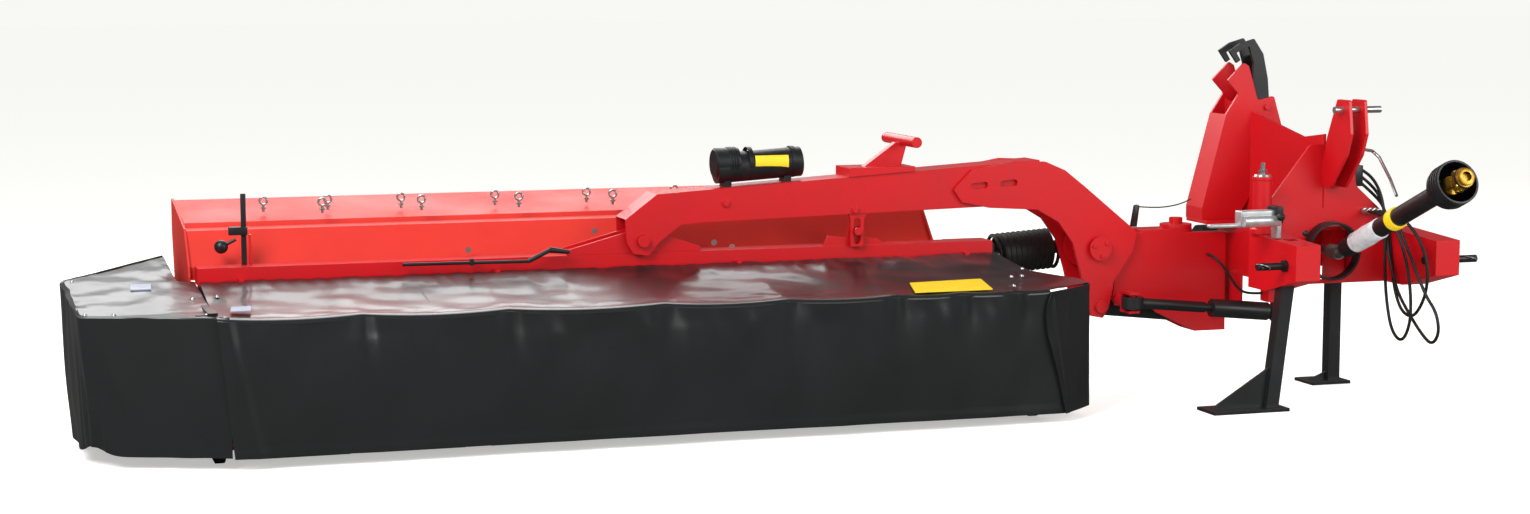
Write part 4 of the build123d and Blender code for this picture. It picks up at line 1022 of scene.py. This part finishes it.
    def headstock(self) -> None:
        """Hook rod, lever block and knobs, spring canister and linch rings of the headstock."""
        bm = bmesh.new()
        route = [(50, 170, 950), (96, 150, 942), (112, 126, 920), (84, 0, 850), (58, -90, 795)]
        for a, b in zip(route, route[1:]):
            add_rod(bm, a, b, 6)
        self.ring(bm, (50, 176, 1040), 24, 3, (1, 0.2, 0))
        make("hook_rod", bm, ZINC, "headstock")
        x0 = -347
        bm = bmesh.new()
        add_box(bm, (x0 - 140, 74, 690), (x0 + 30, 126, 738))
        add_plate(bm, [(x0 - 262, 86, 678), (x0 - 150, 80, 678), (x0 + 20, 80, 678), (x0 + 20, 120, 678),
                       (x0 - 150, 120, 678), (x0 - 262, 114, 678)], (0, 0, 13))
        add_box(bm, (x0 + 8, 78, 631), (x0 + 30, 122, 692))
        round_edges(bm, 5, segments=3)
        add_rod(bm, (x0 - 135, 66, 700), (x0 + 10, 66, 700), 20, sides=32)
        make("lever_block", bm, SILVER, "headstock")
        bm = bmesh.new()
        for spot, size in (((-349, 30, 717), 15), ((-236, 46, 652), 12)):
            bmesh.ops.create_uvsphere(bm, u_segments=24, v_segments=16, radius=size,
                                      matrix=Matrix.Translation(spot))
        add_rod(bm, (-349, 30, 717), (-349, 74, 717), 6)
        add_box(bm, (-352, 58, 690), (-322, 130, 752))
        round_edges(bm, 3)
        make("lever_knobs", bm, PLASTIC, "headstock")
        foot = Vector((-316, 232, 636))
        up = Vector((0, 0, 1))
        bm = bmesh.new()
        add_lathe(bm, [(0.01, 0), (45, 0), (45, 18), (36, 24), (36, 200), (39, 202), (39, 214), (0.01, 214)],
                  foot, foot + up * 214, 40)
        make("spring_canister", bm, RED, "headstock")
        bm = bmesh.new()
        add_rod(bm, foot + up * 214, foot + up * 222, 34, 30, 32)
        add_rod(bm, foot + up * 222, foot + up * 266, 9)
        add_rod(bm, foot + up * 230, foot + up * 240, 16, sides=6)
        make("canister_cap", bm, ZINC, "headstock")
        bm = bmesh.new()
        for x in (-434, 433):
            self.ring(bm, (x, 0, 540), 26, 2.4, (0.4, 0.2, 1))
        make("linch_rings", bm, ZINC, "headstock")

    def boom(self) -> None:
        """Bolts of the boom and the flange of the fold pin."""
        bm = bmesh.new()
        for x, z in ((-1800, 735), (-1340, 800), (-1250, 800), (-2300, 775)):
            add_rod(bm, (x, 592, z), (x, 601, z), 13, sides=6)
            add_rod(bm, (x, 597, z), (x, 601, z), 17)
        make("boom_bolts", bm, RED, "boom")
        bm = bmesh.new()
        x0, z0 = -815, 560
        add_rod(bm, (x0, 566, z0), (x0, 574, z0), 46, 44, 40)
        for degrees in (40, 160, 280):
            turn = math.radians(degrees)
            x, z = x0 + 30 * math.cos(turn), z0 + 30 * math.sin(turn)
            add_rod(bm, (x, 560, z), (x, 568, z), 8, sides=6)
        make("fold_pin_flange", bm, RED, "boom")

    def drive(self) -> None:
        """Ribs of the bellows at the header gearbox."""
        bm = bmesh.new()
        x0, _, y, radius, _ = self.measured("header_shaft")
        rib = [(radius - 8, 0), (radius + 4, 6), (radius + 4, 9), (radius - 8, 15)]
        for i in range(12):
            x = x0 + 30 + i * 22
            z = mix(520, 536, i / 11)
            add_lathe(bm, rib, (x, y, z), (x + 60, y, z + 3.5), 40)
        make("bellows_ribs", bm, RUBBER, "header_shaft", smooth=60)


# -------- studio
@dataclass
class Studio:
    """Floor, backdrop, lamps and the camera."""

    eye: Point = (-5075.0, -8400.0, 1650.0)
    yaw: float = 18.0
    pitch: float = 6.5
    focal_px: float = 2600.0
    width_px: float = 1530.0

    def build(self) -> None:
        """Set up everything that isn't the machine."""
        self._floor()
        self._camera()
        self._lamps()

    def _camera(self) -> None:
        """Camera at the machine's front right."""
        data = bpy.data.cameras.new("camera")
        data.sensor_width = 36.0
        data.lens = data.sensor_width * self.focal_px / self.width_px
        data.clip_end = 200.0
        cam = bpy.data.objects.new("camera", data)
        cam.location = LAYOUT.at(*self.eye)
        cam.rotation_euler = (math.radians(90 - self.pitch), 0.0, math.radians(-self.yaw))
        bpy.context.scene.collection.objects.link(cam)
        bpy.context.scene.camera = cam

    def _floor(self) -> None:
        """Wide pale floor that fades into the world."""
        bm = bmesh.new()
        bmesh.ops.create_grid(bm, x_segments=1, y_segments=1, size=60000.0)
        bmesh.ops.transform(bm, matrix=LAYOUT.matrix(), verts=bm.verts)
        mesh = bpy.data.meshes.new("floor")
        bm.to_mesh(mesh)
        bm.free()
        mat = bpy.data.materials.new("pale_floor")
        mat.use_nodes = True
        tree = mat.node_tree
        shader = tree.nodes["Principled BSDF"]
        rays = node(tree, "ShaderNodeLightPath")
        tone = node(tree, "ShaderNodeMix", {"Factor": rays.outputs["Is Glossy Ray"], MIX_A: linear("#E8E8E5"),
                                            MIX_B: linear("#4A4A49")}, data_type="RGBA")
        lift = node(tree, "ShaderNodeMath", {0: rays.outputs["Is Camera Ray"], 1: 0.46}, operation="MULTIPLY")
        tree.links.new(tone.outputs[MIX_OUT], shader.inputs["Base Color"])
        tree.links.new(lift.outputs[0], shader.inputs["Emission Strength"])
        for name, value in (("Roughness", 0.9), ("Specular IOR Level", 0.0),
                            ("Emission Color", linear("#FFFFFD"))):
            shader.inputs[name].default_value = value
        mesh.materials.append(mat)
        floor = bpy.data.objects.new("floor", mesh)
        bpy.context.scene.collection.objects.link(floor)

    def _lamps(self) -> None:
        """A broad key from the front left above, a fill, and a pale world."""
        world = bpy.data.worlds.new("studio")
        bpy.context.scene.world = world
        world.use_nodes = True
        tree = world.node_tree
        back = tree.nodes["Background"]
        back.inputs["Color"].default_value = linear("#F8F8F5")
        path = node(tree, "ShaderNodeLightPath")
        level = 0.62
        for ray, share in (("Is Camera Ray", 0.38), ("Is Glossy Ray", -0.5)):
            level = node(tree, "ShaderNodeMath", {0: path.outputs[ray], 1: share, 2: level},
                         operation="MULTIPLY_ADD").outputs[0]
        tree.links.new(level, back.inputs["Strength"])
        for name, spot, size, power, aim in (
                ("key", (-7400, -3600, 5600), 4.0, 640.0, (-2400, 300, 400)),
                ("fill", (2800, -5200, 3200), 4.0, 230.0, (-800, 300, 500)),
                ("rim", (-2500, 4800, 4200), 5.0, 260.0, (-2300, 500, 500))):
            lamp = bpy.data.lights.new(name, "AREA")
            lamp.energy = power
            lamp.size = size
            obj = bpy.data.objects.new(name, lamp)
            obj.location = LAYOUT.at(*spot)
            obj.rotation_euler = unit(obj.location, LAYOUT.at(*aim)).to_track_quat("-Z", "Y").to_euler()
            bpy.context.scene.collection.objects.link(obj)


def main() -> None:
    """Build every sub-assembly in order and finish."""
    logging.basicConfig(level=logging.INFO, format="%(message)s")
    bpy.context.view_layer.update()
    bpy.context.scene.view_settings.view_transform = "Standard"
    Studio().build()
    CarriedNodes().dress()
    Tarpaulins().build()
    Lines().build()
    JointShaft().build()
    Fittings().build()


if __name__ == "__main__":
    main()
